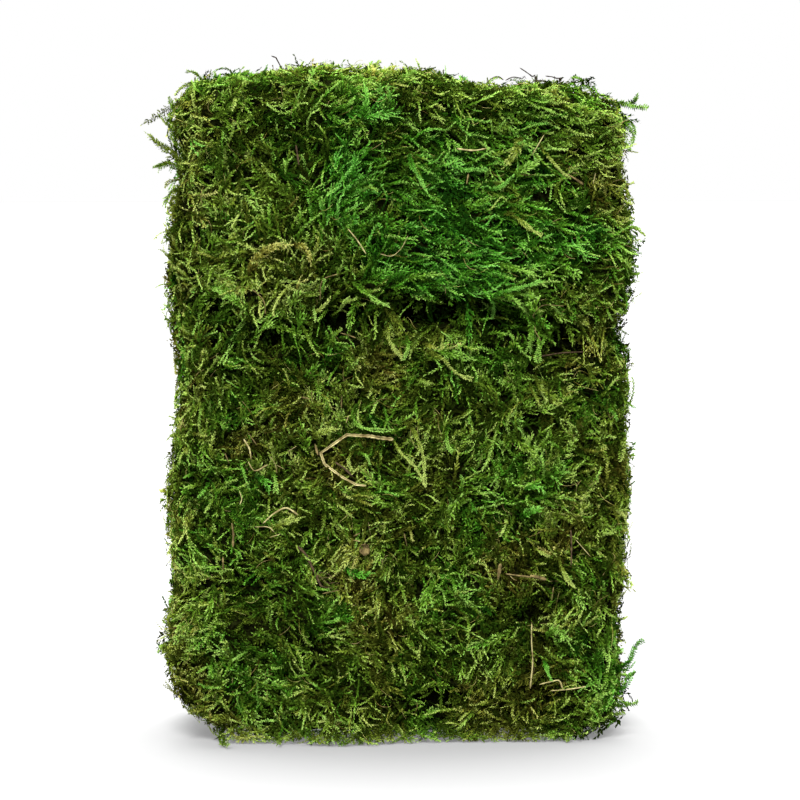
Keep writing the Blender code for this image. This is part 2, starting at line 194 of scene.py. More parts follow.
Leaf = namedtuple("Leaf", "step length spread core ridge lift")
FINE_LEAF = Leaf(0.6, 1.15, 0.46, 0.26, 0.2, 0.45)
WIDE_LEAF = Leaf(0.85, 1.6, 0.62, 0.36, 0.25, 0.6)
ROPE_LEAF = Leaf(0.42, 0.95, 0.85, 0.34, 0.26, 0.55)
STRAND_LEAF = Leaf(0.5, 1.15, 0.5, 0.3, 0.22, 0.5)
# Painted light and shade on each leaf: its corners at the ridge and at the tip lighter, its low outer
# corner darker. LEAF_SHINE lightens some leaves at random as painted highlights.
CORNER_PAINTED_LIGHT = np.array([0.85, 0.36, 0.85])
LEAF_TAPER = 0.4
LEAF_SIZE = (0.8, 1.2)
LEAF_SPREAD = (0.4, 1.5)
LEAF_RAISE = (-1, 1.2)
LEAF_SHINE = (0.7, 1.3)
INNER_AHEAD = 0.4
INNER_ACROSS = 0.7
OUTER_BEHIND = 0.1
OUTER_ACROSS = 1.1


def leafy_strand(draw, points, sides, ups, leaf, shine):
    """Leaves left and right of a ridge in turn: vertices, triangles and glow of the vertices, which is
    painted light and shade.
    """
    count = len(points)
    t = np.linspace(0, 1, count)
    heading = unit(np.gradient(points, axis=0))
    size = ((1 - LEAF_TAPER * t ** 2) * draw.uniform(*LEAF_SIZE, count))[:, None]
    hand = np.where(np.arange(count) % 2, 1, -1)[:, None]
    out = sides * hand * size
    high = ups * leaf.ridge * size
    inner = points + heading * leaf.length * INNER_AHEAD - out * leaf.core * INNER_ACROSS + high
    outer = points - heading * leaf.length * OUTER_BEHIND + out * leaf.core * OUTER_ACROSS - high
    reach = heading * leaf.length * size
    spread = out * leaf.spread * draw.uniform(*LEAF_SPREAD, (count, 1))
    raised = ups * leaf.lift * draw.uniform(*LEAF_RAISE, (count, 1))
    verts = np.stack([inner, outer, points + reach + spread + raised], axis=1)
    triangles = np.arange(3 * count).reshape(-1, 3)
    triangles[1::2] = triangles[1::2, ::-1]
    # Leaves lighter towards the end of the strand, with painted highlights on some leaves at random
    # and painted light and shade at the corners of each leaf.
    bright = shine * (0.5 + 0.5 * t) * draw.uniform(*LEAF_SHINE, count)
    glow = bright[:, None] * CORNER_PAINTED_LIGHT
    return verts.reshape(-1, 3), triangles, glow.ravel()


def join_forms(forms):
    """One form of several: vertices, triangles, and the glow or colour of each vertex."""
    start = 0
    triangles = []
    for points, tris, _ in forms:
        triangles.append(tris + start)
        start += len(points)
    verts = np.concatenate([form[0] for form in forms])
    return verts, np.concatenate(triangles), np.concatenate([form[2] for form in forms])


def steady(vector, count):
    return np.tile(np.array(vector, dtype=float), (count, 1))


def level_strand(draw, axis, leaf, shine):
    """A strand with its leaves in the plane of the sheet."""
    row = len(axis)
    return leafy_strand(draw, axis, steady((0, 1, 0), row), steady((0, 0, 1), row), leaf, shine)


def straight_axis(length, leaf):
    count = max(5, round(length / leaf.step)) + 1
    along = np.linspace(0, length, count)
    return np.stack([along, np.zeros(count), np.zeros(count)], axis=1)


AXIS_SHINE = 0.8
BRANCH_FROM = 0.08
BRANCH_TO = 0.97
BRANCH_STEP = (0.36, 0.64)
BRANCH_SIZE = (0.6, 1.2)
SHORTEST_BRANCH = 0.9
BRANCH_MISSING = 0.06
OUTLINE_START = 0.55
OUTLINE_RISE = 1.4
OUTLINE_TIP = 2.2
OUTLINE_ROUND = 0.7


def pinnate_frond(seed, length, spacing, longest, opening, leaf):
    """A feathery frond: an axis with curved branchlets on both sides."""
    draw = rng(seed)
    axis = straight_axis(length, leaf)
    forms = [level_strand(draw, axis, leaf, AXIS_SHINE)]
    place = length * BRANCH_FROM
    side = 1
    while place < length * BRANCH_TO:
        share = place / length
        rise = min(1, OUTLINE_START + OUTLINE_RISE * share)
        outline = rise * (1 - share ** OUTLINE_TIP) ** OUTLINE_ROUND
        size = longest * outline * draw.uniform(*BRANCH_SIZE)
        if size > SHORTEST_BRANCH and draw.random() > BRANCH_MISSING:
            forms.append(branchlet(draw, place, side, size, opening, leaf))
        side = -side
        place += spacing * draw.uniform(*BRANCH_STEP)
    return join_forms(forms)


BRANCH_OPENING = (0.75, 1.3)
BRANCH_BEND = (0.2, 1.3)
BRANCH_RISE = (-0.25, 0.6)
BRANCH_DROOP = (-0.1, 0.9)
BRANCH_TILT = 0.5
BRANCH_SHINE = (0.35, 1.35)


def branchlet(draw, place, side, size, opening, leaf):
    """A curved side shoot that leans towards the tip of the frond."""
    count = max(4, round(size / leaf.step) + 2)
    t = np.linspace(0, 1, count)
    angle = opening * draw.uniform(*BRANCH_OPENING) * (1 - draw.uniform(*BRANCH_BEND) * t)
    step = size / (count - 1)
    dx = np.concatenate([[0], np.cos(angle[:-1]) * step]).cumsum()
    dy = np.concatenate([[0], np.sin(angle[:-1]) * step]).cumsum() * side
    rise = draw.uniform(*BRANCH_RISE) * size
    droop = draw.uniform(*BRANCH_DROOP) * size
    points = np.stack([place + dx, dy, rise * t - droop * t * t], axis=1)
    heading = unit(np.gradient(points, axis=0))
    tilt = draw.normal(0, BRANCH_TILT)
    sides = unit(np.cross(steady((0, math.sin(tilt), math.cos(tilt)), count), heading))
    ups = np.cross(heading, sides)
    return leafy_strand(draw, points, sides, ups, leaf, draw.uniform(*BRANCH_SHINE))


PHASE = (0, 6)
SHOOT_WAVE = (0.3, 1.1)
SHOOT_LENGTH = (1.8, 3.4)
SHOOT_TURNS = (0.2, 1.7)


def wave(draw, along, heights, lengths):
    """A random wave along an axis."""
    return draw.uniform(*heights) * np.sin(along / draw.uniform(*lengths) + draw.uniform(*PHASE))


def single_shoot(seed, length, leaf):
    """One braided shoot: two crossed rows of leaves round a wavy axis."""
    draw = rng(seed)
    axis = straight_axis(length, leaf)
    axis[:, 1] = wave(draw, axis[:, 0], SHOOT_WAVE, SHOOT_LENGTH)
    forms = []
    for turn in SHOOT_TURNS:
        sides = steady((0, math.cos(turn), math.sin(turn)), len(axis))
        ups = steady((0, -math.sin(turn), math.cos(turn)), len(axis))
        forms.append(leafy_strand(draw, axis, sides, ups, leaf, 1.0))
    return join_forms(forms)


STRAND_CURL = (0.6, 2.6)
STRAND_BEND = (0.5, 1.5)
STRAND_RIPPLE = 0.4
STRAND_RIPPLES = (3, 8)
STRAND_RISE = (0.2, 1.2)
STRAND_RISES = (2, 5)


def curled_strand(seed, length, leaf):
    """One thin leafy strand with a curled end."""
    draw = rng(seed)
    axis = straight_axis(length, leaf)
    t = axis[:, 0] / length
    curl = draw.uniform(*STRAND_CURL) * draw.choice([-1, 1])
    bend = curl * t ** 2 * draw.uniform(*STRAND_BEND)
    axis[:, 1] = bend + STRAND_RIPPLE * np.sin(t * draw.uniform(*STRAND_RIPPLES))
    rise = draw.uniform(*STRAND_RISE)
    axis[:, 2] = rise * np.sin(t * draw.uniform(*STRAND_RISES) + draw.uniform(*PHASE))
    return level_strand(draw, axis, leaf, 1.0)


THREAD_RADIUS = 0.1
THREAD_STEPS = 8
THREAD_TAPER = 0.5
THREAD_GLOW = (0.4, 1)
THREAD_WAVE = ((0.5, 1.6), (1.3, 3.0))
THREAD_RISE = ((0.3, 1.1), (1.2, 2.6))


def bare_thread(seed, length):
    """A thin dry stem with three sides."""
    draw = rng(seed)
    along = np.linspace(0, length, THREAD_STEPS + 1)
    sway = wave(draw, along, *THREAD_WAVE)
    rise = wave(draw, along, *THREAD_RISE)
    axis = np.stack([along, sway, rise], axis=1)
    radius = THREAD_RADIUS * (1 - THREAD_TAPER * (along / length) ** 2)
    rings = []
    for turn in np.arange(3) * math.tau / 3:
        ring = [np.zeros_like(along), np.cos(turn) * radius, np.sin(turn) * radius]
        rings.append(axis + np.stack(ring, axis=1))
    row = THREAD_STEPS + 1
    k = np.arange(THREAD_STEPS)
    triangles = []
    for a, b in ((0, 1), (1, 2), (2, 0)):
        triangles.append(np.stack([a * row + k, b * row + k, a * row + k + 1], axis=1))
        triangles.append(np.stack([b * row + k, b * row + k + 1, a * row + k + 1], axis=1))
    return np.concatenate(rings), np.concatenate(triangles), draw.uniform(*THREAD_GLOW, 3 * row)


# Laying forms along curves, and how light each leaf is between root and tip: painted shade at the
# root, painted light at the tips

ROOT_LIGHT = 0.2
BASE_LIGHT = 0.03
TIP_LIGHT = 1.94
PIVOT = 0.32
CONTRAST = 1.6
LEAF_LIGHT = (0.85, 1.15)
HUE_NOISE = 0.03
LIGHT_NOISE = 0.008


def leaf_colours(places, glow, s, draw):
    """Hue and light of each vertex of each copy: dark at the root, as painted shade deep in the mat
    where the older parts are darker too, and light at the leaf tips, as painted light.
    """
    shape = (len(places["root"]), len(glow))
    hue = places["hue"][:, None] + draw.normal(0, HUE_NOISE, shape)
    # Painted shade: darker towards the root, deep in the mat.
    rise = ROOT_LIGHT + (1 - ROOT_LIGHT) * np.clip(s[..., 0], 0, 1)
    leaf_light = BASE_LIGHT + TIP_LIGHT * glow[None, :] * draw.uniform(*LEAF_LIGHT, shape)
    light = places["light"][:, None] * rise * leaf_light
    light = PIVOT * (light / PIVOT) ** CONTRAST + draw.normal(0, LIGHT_NOISE, shape)
    return np.stack([hue, light], axis=-1).reshape(-1, 2)


def lay(form, nominal, places, draw):
    """Copies of a form along curves. places holds one row for each copy."""
    verts, triangles, glow = form
    root = places["root"][:, None]
    middle = places["middle"][:, None]
    end = places["end"][:, None]
    s = (verts[:, 0] / nominal)[None, :, None]
    curve = (1 - s) ** 2 * root + 2 * s * (1 - s) * middle + s ** 2 * end
    tangent = unit(2 * (1 - s) * (middle - root) + 2 * s * (end - middle))
    up = places["up_root"][:, None] * (1 - s) + places["up_end"][:, None] * s
    up = unit(up - (up * tangent).sum(axis=-1, keepdims=True) * tangent)
    side = np.cross(up, tangent)
    turn = places["roll"][:, None] + places["twist"][:, None] * (s[..., 0] - 0.5)
    width = places["width"][:, None]
    across = verts[None, :, 1] * MM * width
    out = verts[None, :, 2] * MM * width
    y = across * np.cos(turn) - out * np.sin(turn)
    z = across * np.sin(turn) + out * np.cos(turn)
    points = curve + side * y[..., None] + up * z[..., None]
    shifts = (np.arange(len(root)) * len(verts))[:, None, None]
    faces = (triangles[None] + shifts).reshape(-1, 3)
    return points.reshape(-1, 3), faces, leaf_colours(places, glow, s, draw)


PALETTE_EDGE = 0.01
FLOOR_GAP = 0.25 * MM


def add_piece(name, mesh, node=None):
    """Adds a mesh as a piece of the clump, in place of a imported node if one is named."""
    item = bpy.data.objects.new(name, mesh)
    bpy.context.scene.collection.objects.link(item)
    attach(item, "root")
    if node:
        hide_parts(node)


def frond_mesh(name, parts, material):
    """One joined mesh with the palette map."""
    verts, faces, colours = join_forms(parts)
    colours = np.clip(colours, PALETTE_EDGE, 1 - PALETTE_EDGE)
    verts[:, 2] = np.maximum(verts[:, 2], FLOOR_GAP)
    mesh = bpy.data.meshes.new(name)
    mesh.vertices.add(len(verts))
    mesh.vertices.foreach_set("co", verts.ravel())
    mesh.loops.add(faces.size)
    mesh.loops.foreach_set("vertex_index", faces.ravel())
    mesh.polygons.add(len(faces))
    mesh.polygons.foreach_set("loop_start", np.arange(0, faces.size, 3))
    mesh.update(calc_edges=True)
    layer = mesh.uv_layers.new(name=PALETTE_MAP)
    layer.data.foreach_set("uv", colours[faces.ravel()].ravel())
    mesh.materials.append(material)
    return mesh


def pack_pieces(name, parts, material):
    """Joins parts into as few pieces as the triangle limit allows."""
    batches = [[]]
    size = 0
    for part in parts:
        if size + len(part[1]) > MOST_TRIANGLES:
            batches.append([])
            size = 0
        batches[-1].append(part)
        size += len(part[1])
    for index, batch in enumerate(batches):
        title = f"{name}_{index + 1}"
        add_piece(title, frond_mesh(title, batch, material))


# Colours

def new_material(name):
    """A material, its node tree and its shader."""
    material = bpy.data.materials.new(name)
    material.use_nodes = True
    tree = material.node_tree
    return material, tree, tree.nodes["Principled BSDF"]


def ramp(tree, stops, factor):
    """Colour between stops as the factor goes from 0 to 1."""
    node = tree.nodes.new("ShaderNodeValToRGB")
    elements = node.color_ramp.elements
    while len(elements) < len(stops):
        elements.new(0.5)
    for element, (place, color) in zip(elements, stops):
        element.position = place
        element.color = (*color, 1)
    tree.links.new(factor, node.inputs["Fac"])
    return node.outputs["Color"]


def blend(tree, share, low, high, first, second):
    """Mixes two colours as share goes from low to high."""
    span = tree.nodes.new("ShaderNodeMapRange")
    span.inputs["From Min"].default_value = low
    span.inputs["From Max"].default_value = high
    tree.links.new(share, span.inputs["Value"])
    node = tree.nodes.new("ShaderNodeMix")
    node.data_type = "RGBA"
    tree.links.new(span.outputs["Result"], node.inputs["Factor"])
    tree.links.new(first, node.inputs["A"])
    tree.links.new(second, node.inputs["B"])
    return node.outputs["Result"]


# Colours of the palette along the hue, at three steps of light
PALETTE_DARK = [
    (0.0, (0.005, 0.003, 0.001)),
    (0.25, (0.005, 0.005, 0.0005)),
    (0.5, (0.003, 0.006, 0.0005)),
    (0.75, (0.0015, 0.008, 0.0005)),
    (1.0, (0.001, 0.008, 0.0015)),
]
PALETTE_MIDDLE = [
    (0.0, (0.06, 0.04, 0.016)),
    (0.12, (0.083, 0.06, 0.014)),
    (0.25, (0.12, 0.117, 0.016)),
    (0.5, (0.078, 0.127, 0.011)),
    (0.75, (0.04, 0.142, 0.008)),
    (1.0, (0.017, 0.105, 0.007)),
]
PALETTE_LIGHT = [
    (0.0, (0.18, 0.135, 0.07)),
    (0.12, (0.19, 0.15, 0.057)),
    (0.25, (0.222, 0.228, 0.066)),
    (0.5, (0.182, 0.25, 0.056)),
    (0.75, (0.12, 0.262, 0.042)),
    (1.0, (0.066, 0.2, 0.035)),
]
PALETTE_TURN = 0.55
LEAF_ROUGHNESS = 0.6


def palette_material():
    """Moss colour read from the palette map: hue along U and lightness along V."""
    material, tree, shader = new_material("moss_leaf")
    place = tree.nodes.new("ShaderNodeUVMap")
    place.uv_map = PALETTE_MAP
    split = tree.nodes.new("ShaderNodeSeparateXYZ")
    tree.links.new(place.outputs["UV"], split.inputs["Vector"])
    hue = split.outputs["X"]
    light = split.outputs["Y"]
    dark = ramp(tree, PALETTE_DARK, hue)
    middle = ramp(tree, PALETTE_MIDDLE, hue)
    pale = ramp(tree, PALETTE_LIGHT, hue)
    lower = blend(tree, light, 0, PALETTE_TURN, dark, middle)
    color = blend(tree, light, PALETTE_TURN, 1, lower, pale)
    tree.links.new(color, shader.inputs["Base Color"])
    shader.inputs["Roughness"].default_value = LEAF_ROUGHNESS
    shader.inputs["Specular IOR Level"].default_value = 0.0
    return material


# Rough materials: dark and light colour, grain, relief in metres, roughness and gloss
ROUGH = {
    # The bed's near-black colour is painted shade in the gaps between the fronds, on the dark pressed
    # moss under them.
    "painted_shade_bed": ((0.001, 0.001, 0.0005), (0.006, 0.008, 0.0015), 900, 0.0006, 1, 0),
    "straw_dry": ((0.09, 0.068, 0.022), (0.32, 0.29, 0.13), 300, 0.0001, 0.6, 0.1),
    "wood_scrap": ((0.035, 0.025, 0.008), (0.15, 0.115, 0.042), 500, 0.0002, 0.8, 0.1),
    "twig_bark": ((0.016, 0.01, 0.005), (0.065, 0.042, 0.02), 700, 0.0002, 0.8, 0.1),
    "dark_bark": ((0.005, 0.003, 0.002), (0.022, 0.014, 0.008), 700, 0.0002, 0.8, 0.1),
}
GRAIN_DETAIL = 6
GRAIN_DARK = 0.35
GRAIN_LIGHT = 0.7


def rough_material(name):
    """Colour and relief from noise in object space."""
    dark, light, scale, bump, roughness, specular = ROUGH[name]
    material, tree, shader = new_material(name)
    place = tree.nodes.new("ShaderNodeTexCoord")
    grain = tree.nodes.new("ShaderNodeTexNoise")
    grain.inputs["Scale"].default_value = scale
    grain.inputs["Detail"].default_value = GRAIN_DETAIL
    tree.links.new(place.outputs["Object"], grain.inputs["Vector"])
    color = ramp(tree, [(GRAIN_DARK, dark), (GRAIN_LIGHT, light)], grain.outputs["Fac"])
    tree.links.new(color, shader.inputs["Base Color"])
    relief = tree.nodes.new("ShaderNodeBump")
    relief.inputs["Distance"].default_value = bump
    tree.links.new(grain.outputs["Fac"], relief.inputs["Height"])
    tree.links.new(relief.outputs["Normal"], shader.inputs["Normal"])
    shader.inputs["Roughness"].default_value = roughness
    shader.inputs["Specular IOR Level"].default_value = specular
    return material


# Tones of the moss: hue and light on the palette, and where they lie in photo pixels

TONES = {
    "vivid": (0.8, 0.66),
    "emerald": (0.82, 0.48),
    "leaf": (0.66, 0.48),
    "fresh": (0.64, 0.68),
    "olive": (0.53, 0.52),
    "yellow": (0.43, 0.68),
    "brown": (0.36, 0.44),
    "dim": (0.57, 0.36),
    "tan": (0.25, 0.7),
}
TONE_SPOTS = {
    "vivid": [
        (370, 110), (350, 160), (420, 175), (460, 180), (520, 180), (350, 205), (540, 240), (500, 245),
        (430, 255), (390, 190), (480, 215), (575, 235),
    ],
    "emerald": [(430, 225), (375, 250), (470, 250), (490, 270)],
    "leaf": [
        (240, 485), (240, 410), (600, 385), (470, 515), (330, 610), (230, 520), (320, 355), (530, 500),
        (410, 715), (250, 690),
    ],
    "fresh": [
        (205, 310), (340, 85), (470, 140), (525, 100), (595, 95), (560, 215), (620, 250), (390, 215),
        (470, 370), (190, 470), (515, 465), (220, 675), (600, 690), (625, 700), (540, 290), (190, 560),
        (450, 590), (215, 640), (600, 640),
    ],
    "olive": [
        (330, 265), (300, 85), (490, 95), (600, 145), (225, 215), (215, 85), (410, 90), (240, 165),
        (565, 150), (200, 240), (350, 290), (580, 300), (190, 350), (270, 355), (420, 340), (545, 385),
        (350, 425), (440, 440), (290, 450), (420, 510), (320, 520), (600, 520), (200, 600), (400, 560),
        (440, 560), (280, 610), (450, 630), (560, 620), (500, 660), (330, 725), (580, 725), (620, 440),
    ],
    "yellow": [
        (185, 105), (180, 140), (185, 200), (175, 255), (180, 290), (300, 265), (270, 275), (385, 70),
        (555, 80), (620, 130), (620, 200), (175, 380), (172, 440), (172, 530), (170, 590), (170, 650),
        (628, 360), (628, 540), (625, 590), (430, 475), (235, 735),
    ],
    "brown": [
        (600, 185), (290, 410), (250, 445), (340, 465), (520, 575), (185, 683), (350, 580), (380, 370),
        (590, 355), (370, 625), (540, 690), (570, 540), (390, 720), (480, 700), (630, 470),
    ],
    # The dim spots are painted shade: darker moss where the front has dark hollows.
    "dim": [
        (285, 160), (290, 225), (400, 165), (505, 190), (600, 275), (420, 365), (390, 420), (460, 400),
        (400, 475), (280, 570), (240, 625), (340, 690), (430, 690), (560, 590), (520, 640), (590, 570),
        (230, 365), (370, 135), (300, 140),
    ],
}

# The ragged lower edge of the upper sheet, across and up, and the painted shade under it
LEDGE = np.array([
    (-86, 166.5), (-79, 164.5), (-58.4, 154.5), (-36.5, 152), (-25.6, 159.8), (0.3, 161.2),
    (33, 162.8), (47, 157.6), (71, 149.6), (86, 152),
]) * MM
SHADE_BELOW = 3.5 * MM
SHADE_REACH = 3 * MM
SHADE = 0.6

# Hollows in the front: place across, height, half width and half height in millimetres
HOLLOWS = [
    (-18.6, 156.2, 9, 4),
    (16, 158, 18, 2.8),
    (-47.5, 151.4, 9, 4.5),
    (-65.4, 150.6, 5, 4),
    (57, 146.5, 9, 4),
    (50.6, 119.2, 7, 6),
    (50.7, 48.7, 8, 6),
    (15.5, 16.2, 9, 4),
    (48.8, 19.4, 8, 3.5),
    (-56.7, 43, 6, 4),
    (-13.5, 105.6, 2.6, 2.4),
    (52.5, 203.9, 3.4, 1.6),
]
HOLLOW_CUT = 1.4
HOLLOW_FRONT = -15 * MM

# Tone by place: nearest spots on the front, patches on the other sides
SPOT_BLUR = 3 * MM
PATCH_SIZE = 18 * MM
PATCH_SEED = 41
PATCH_GAIN = 2.2
SIDE_BLEND = 12 * MM
OTHER_TONE = 0.5
OTHER_HUE = 0.22
OTHER_LIGHT = 0.16
PATCH_HUE = 0.03
PATCH_LIGHT = 0.04


def patch_values(points, size, seed):
    """Four values from -1 to 1 for each point, alike within a patch."""
    values = np.empty((len(points), 4))
    for i, point in enumerate(points):
        place = Vector(point) / size
        for k in range(4):
            values[i, k] = noise.noise(place + Vector((seed + 10 * k, 0, 0))) * PATCH_GAIN
    return np.clip(values, -1, 1)


def front_tone(points):
    """Hue and light that the spots of the front give, the nearest ones most."""
    spots = []
    values = []
    for name, places in TONE_SPOTS.items():
        for px, py in places:
            spots.append(from_photo(px, py))
            values.append(TONES[name])
    gap = np.linalg.norm(points[:, None, [0, 2]] - np.array(spots)[None], axis=2)
    weight = 1 / (gap ** 2 + SPOT_BLUR ** 2) ** 2
    weight /= weight.sum(axis=1, keepdims=True)
    return weight @ np.array(values)


def tone_at(points):
    """Hue and light of the moss at places on the clump."""
    front = front_tone(points)
    patch = patch_values(points, PATCH_SIZE, PATCH_SEED)
    other_hue = OTHER_TONE + OTHER_HUE * patch[:, 0]
    other = np.stack([other_hue, OTHER_TONE + OTHER_LIGHT * patch[:, 1]], axis=1)
    share = np.clip((STACK_FRONT_IN_CAD + SHIFT - points[:, 1]) / SIDE_BLEND, 0, 1)[:, None]
    tone = front * share + other * (1 - share)
    tone[:, 0] += PATCH_HUE * patch[:, 2]
    tone[:, 1] += PATCH_LIGHT * patch[:, 3]
    # Painted shade: a dark band just under the ledge of the upper sheet.
    below = np.interp(points[:, 0], *LEDGE.T) - points[:, 2]
    band = np.exp(-((below - SHADE_BELOW) / SHADE_REACH) ** 2)
    tone[:, 1] *= 1 - SHADE * share[:, 0] * band
    return tone


def in_hollow(points):
    """How deep inside a hollow of the front each place is, from 0 to 1."""
    depth = np.zeros(len(points))
    for across, height, half_width, half_height in HOLLOWS:
        away = ((points[:, 0] - across * MM) / (half_width * MM)) ** 2
        away += ((points[:, 2] - height * MM) / (half_height * MM)) ** 2
        on_front = points[:, 1] < HOLLOW_FRONT + SHIFT
        depth = np.maximum(depth, np.where(on_front, 1 - away, 0))
    return np.clip(depth, 0, 1)


# Where the fronds lie: heights and widths in metres, angles in radians

TUFTS = 300
COMBED_FROM = 0.163
COMBED_TO = 0.24
COMBED_ANGLE = math.radians(-8)
COMBED_SPREAD = 0.4
RISING_FROM = -0.03
RISING_ANGLE = math.radians(50)
RISING_SPREAD = 0.5
TUFT_BLUR = 3 * MM
FROND_SPREAD = 0.38
STEEP = 0.8


def tuft_angles(centres, draw):
    """Way that each tuft leans on the surface. The upper sheet is combed to the right."""
    across = centres[:, 0]
    height = centres[:, 2]
    angles = draw.uniform(-math.pi, math.pi, len(centres))
    combed = (across > 0) & (height > COMBED_FROM) & (height < COMBED_TO)
    angles[combed] = COMBED_ANGLE + draw.normal(0, COMBED_SPREAD, combed.sum())
    rising = (across > RISING_FROM) & (across <= 0) & (height > COMBED_FROM)
    angles[rising] = RISING_ANGLE + draw.normal(0, RISING_SPREAD, rising.sum())
    return angles


def direction_at(points, normals, seed):
    """Way that each frond lies, alike within a tuft, and the number of the tuft."""
    draw = rng(seed)
    picked = draw.choice(len(points), min(TUFTS, len(points)), replace=False)
    centres = points[picked]
    angles = tuft_angles(centres, draw)
    moved = points + draw.normal(0, TUFT_BLUR, points.shape)
    tuft = np.linalg.norm(moved[:, None] - centres[None], axis=2).argmin(axis=1)
    angle = angles[tuft] + draw.normal(0, FROND_SPREAD, len(points))
    right = steady((1, 0, 0), len(points))
    right[np.abs(normals[:, 0]) > STEEP] = (0, 1, 0)
    right = unit(right - (right * normals).sum(axis=1, keepdims=True) * normals)
    up = np.cross(normals, right)
    up[(up[:, 2] < 0) & (np.abs(normals[:, 2]) < STEEP)] *= -1
    return right * np.cos(angle)[:, None] + up * np.sin(angle)[:, None], tuft


# Kinds of form: sizes in millimetres, and the share of strays
Kind = namedtuple("Kind", "length root_depth tip_depth stray relief light")
# Painted shade: tufts that lie deeper are darker by up to DEEP_SHADE, and the under layer of fronds is
# painted darker still by its low light.
DEEP_SHADE = 0.68
KINDS = {
    "fine": Kind(12, 4.5, 0.5, 0.07, 2.6, 1.0),
    "wide": Kind(15, 5.0, 0.6, 0.06, 2.0, 1.0),
    "under": Kind(15, 5.5, 2.6, 0.0, 1.0, 0.32),
    "rope": Kind(10, 2.6, 0.2, 0.10, 1.6, 1.15),
    "strand": Kind(8, 2.4, 0.0, 0.12, 1.8, 1.15),
    "thread": Kind(6, 1.6, 0.0, 0.10, 1.0, 1.0),
}
FORM_SIZE = 0.25
ROOT_DEPTH = (0.7, 1.3)
TIP_DEPTH = (-0.6, 1.8)
TIP_RELIEF = 0.7
STRAY_REACH = (0.5, 3.5)
SWAY = 0.2
BULGE = (0.0, 0.24)
ROLL = 0.5
TWIST = 0.9
FORM_WIDTH = (0.8, 1.2)
FORM_HUE = 0.07
FORM_LIGHT = (0.05, 0.4)
LEAST_SPAN = 0.45


def end_depths(draw, kind, level):
    """How deep the root and the end of each form lie. Strays stand out of the sheet."""
    root_depth = kind.root_depth * MM * draw.uniform(*ROOT_DEPTH, level.shape) + level
    tip_depth = kind.tip_depth * MM * draw.uniform(*TIP_DEPTH, level.shape) + level * TIP_RELIEF
    stray = draw.random(level.shape) < kind.stray
    proud = stray * draw.uniform(*STRAY_REACH, level.shape) * MM
    return root_depth, tip_depth - proud


def bent_middle(draw, root, end, normals):
    """Middle of each curve, swayed to a side and raised a little."""
    span = end - root
    sway = np.cross(normals, span) * draw.normal(0, SWAY, (len(root), 1))
    reach = np.linalg.norm(span, axis=1, keepdims=True)
    bulge = normals * reach * draw.uniform(*BULGE, (len(root), 1))
    return (root + end) / 2 + sway + bulge


def place_forms(surface, points, normals, seed, kind, sink):
    """Curves for forms that lie on the surface at the given places."""
    draw = rng(seed)
    count = len(points)
    way, tuft = direction_at(points, normals, seed + 1)
    sizes = kind.length * MM * np.exp(draw.normal(0, FORM_SIZE, (count, 1)))
    first, first_up = surface.nearest(points - way * sizes * 0.5)
    last, last_up = surface.nearest(points + way * sizes * 0.5)
    depth = draw.uniform(0, 1, TUFTS)[tuft]
    root_depth, tip_depth = end_depths(draw, kind, depth[:, None] * kind.relief * MM + sink)
    root = first - first_up * root_depth
    end = last - last_up * tip_depth
    middle = bent_middle(draw, root, end, normals)
    tone = tone_at(points)
    # Painted shade: the deeper a tuft lies, the darker its fronds.
    light = tone[:, 1] * kind.light * (1 - DEEP_SHADE * depth)
    places = {
        "root": root,
        "middle": middle,
        "end": end,
        "up_root": first_up,
        "up_end": last_up,
        "roll": draw.normal(0, ROLL, count),
        "twist": draw.normal(0, TWIST, count),
        "width": draw.uniform(*FORM_WIDTH, count),
        "hue": tone[:, 0] + draw.normal(0, FORM_HUE, count),
        "light": light * np.exp(draw.normal(*FORM_LIGHT, count)),
    }
    good = np.linalg.norm(last - first, axis=1) > LEAST_SPAN * sizes[:, 0]
    return {key: value[good] for key, value in places.items()}


def lay_kinds(places, forms, nominal, seed):
    """Shares the places out between the forms of a kind at random and lays them."""
    draw = rng(seed)
    pick = draw.integers(0, len(forms), len(places["root"]))
    parts = []
    for index, form in enumerate(forms):
        group = {key: value[pick == index] for key, value in places.items()}
        if len(group["root"]):
            parts.append(lay(form, nominal, group, draw))
    return parts


FACING = 0.6
LEVEL = 0.5


def between(normals):
    """True where a face looks neither to the front or back nor to the left or right."""
    return (np.abs(normals[:, 1]) <= FACING) & (np.abs(normals[:, 0]) <= FACING)


# Sides of the clump by the way that their faces look
REGIONS = {
    "front": lambda n: n[:, 1] < -FACING,
    "back": lambda n: n[:, 1] > FACING,
    "left": lambda n: (n[:, 0] < -FACING) & (np.abs(n[:, 1]) <= FACING),
    "right": lambda n: (n[:, 0] > FACING) & (np.abs(n[:, 1]) <= FACING),
    "top": lambda n: (n[:, 2] > LEVEL) & between(n),
    "bottom": lambda n: (n[:, 2] < -LEVEL) & between(n),
}
# Forms for each square centimetre of a region
DENSITY = {
    "front": {"under": 2.6, "fine": 6.5, "rope": 3.5, "strand": 7.0, "thread": 0.8},
    "back": {"under": 1.0, "wide": 3.2, "rope": 0.5, "strand": 1.5, "thread": 0.3},
    "left": {"wide": 3.6, "rope": 1.0, "strand": 3.0, "thread": 0.4},
    "right": {"wide": 3.6, "rope": 1.0, "strand": 3.0, "thread": 0.4},
    "top": {"wide": 4.0, "rope": 1.2, "strand": 4.0, "thread": 0.4},
    "bottom": {"wide": 1.0},
}
SINK = {"top": 0.9 * MM}
SQUARE_CM = 1e-4
THREAD_HUE = (0.06, 0.26)
THREAD_LIGHT = (0.35, 1.2)


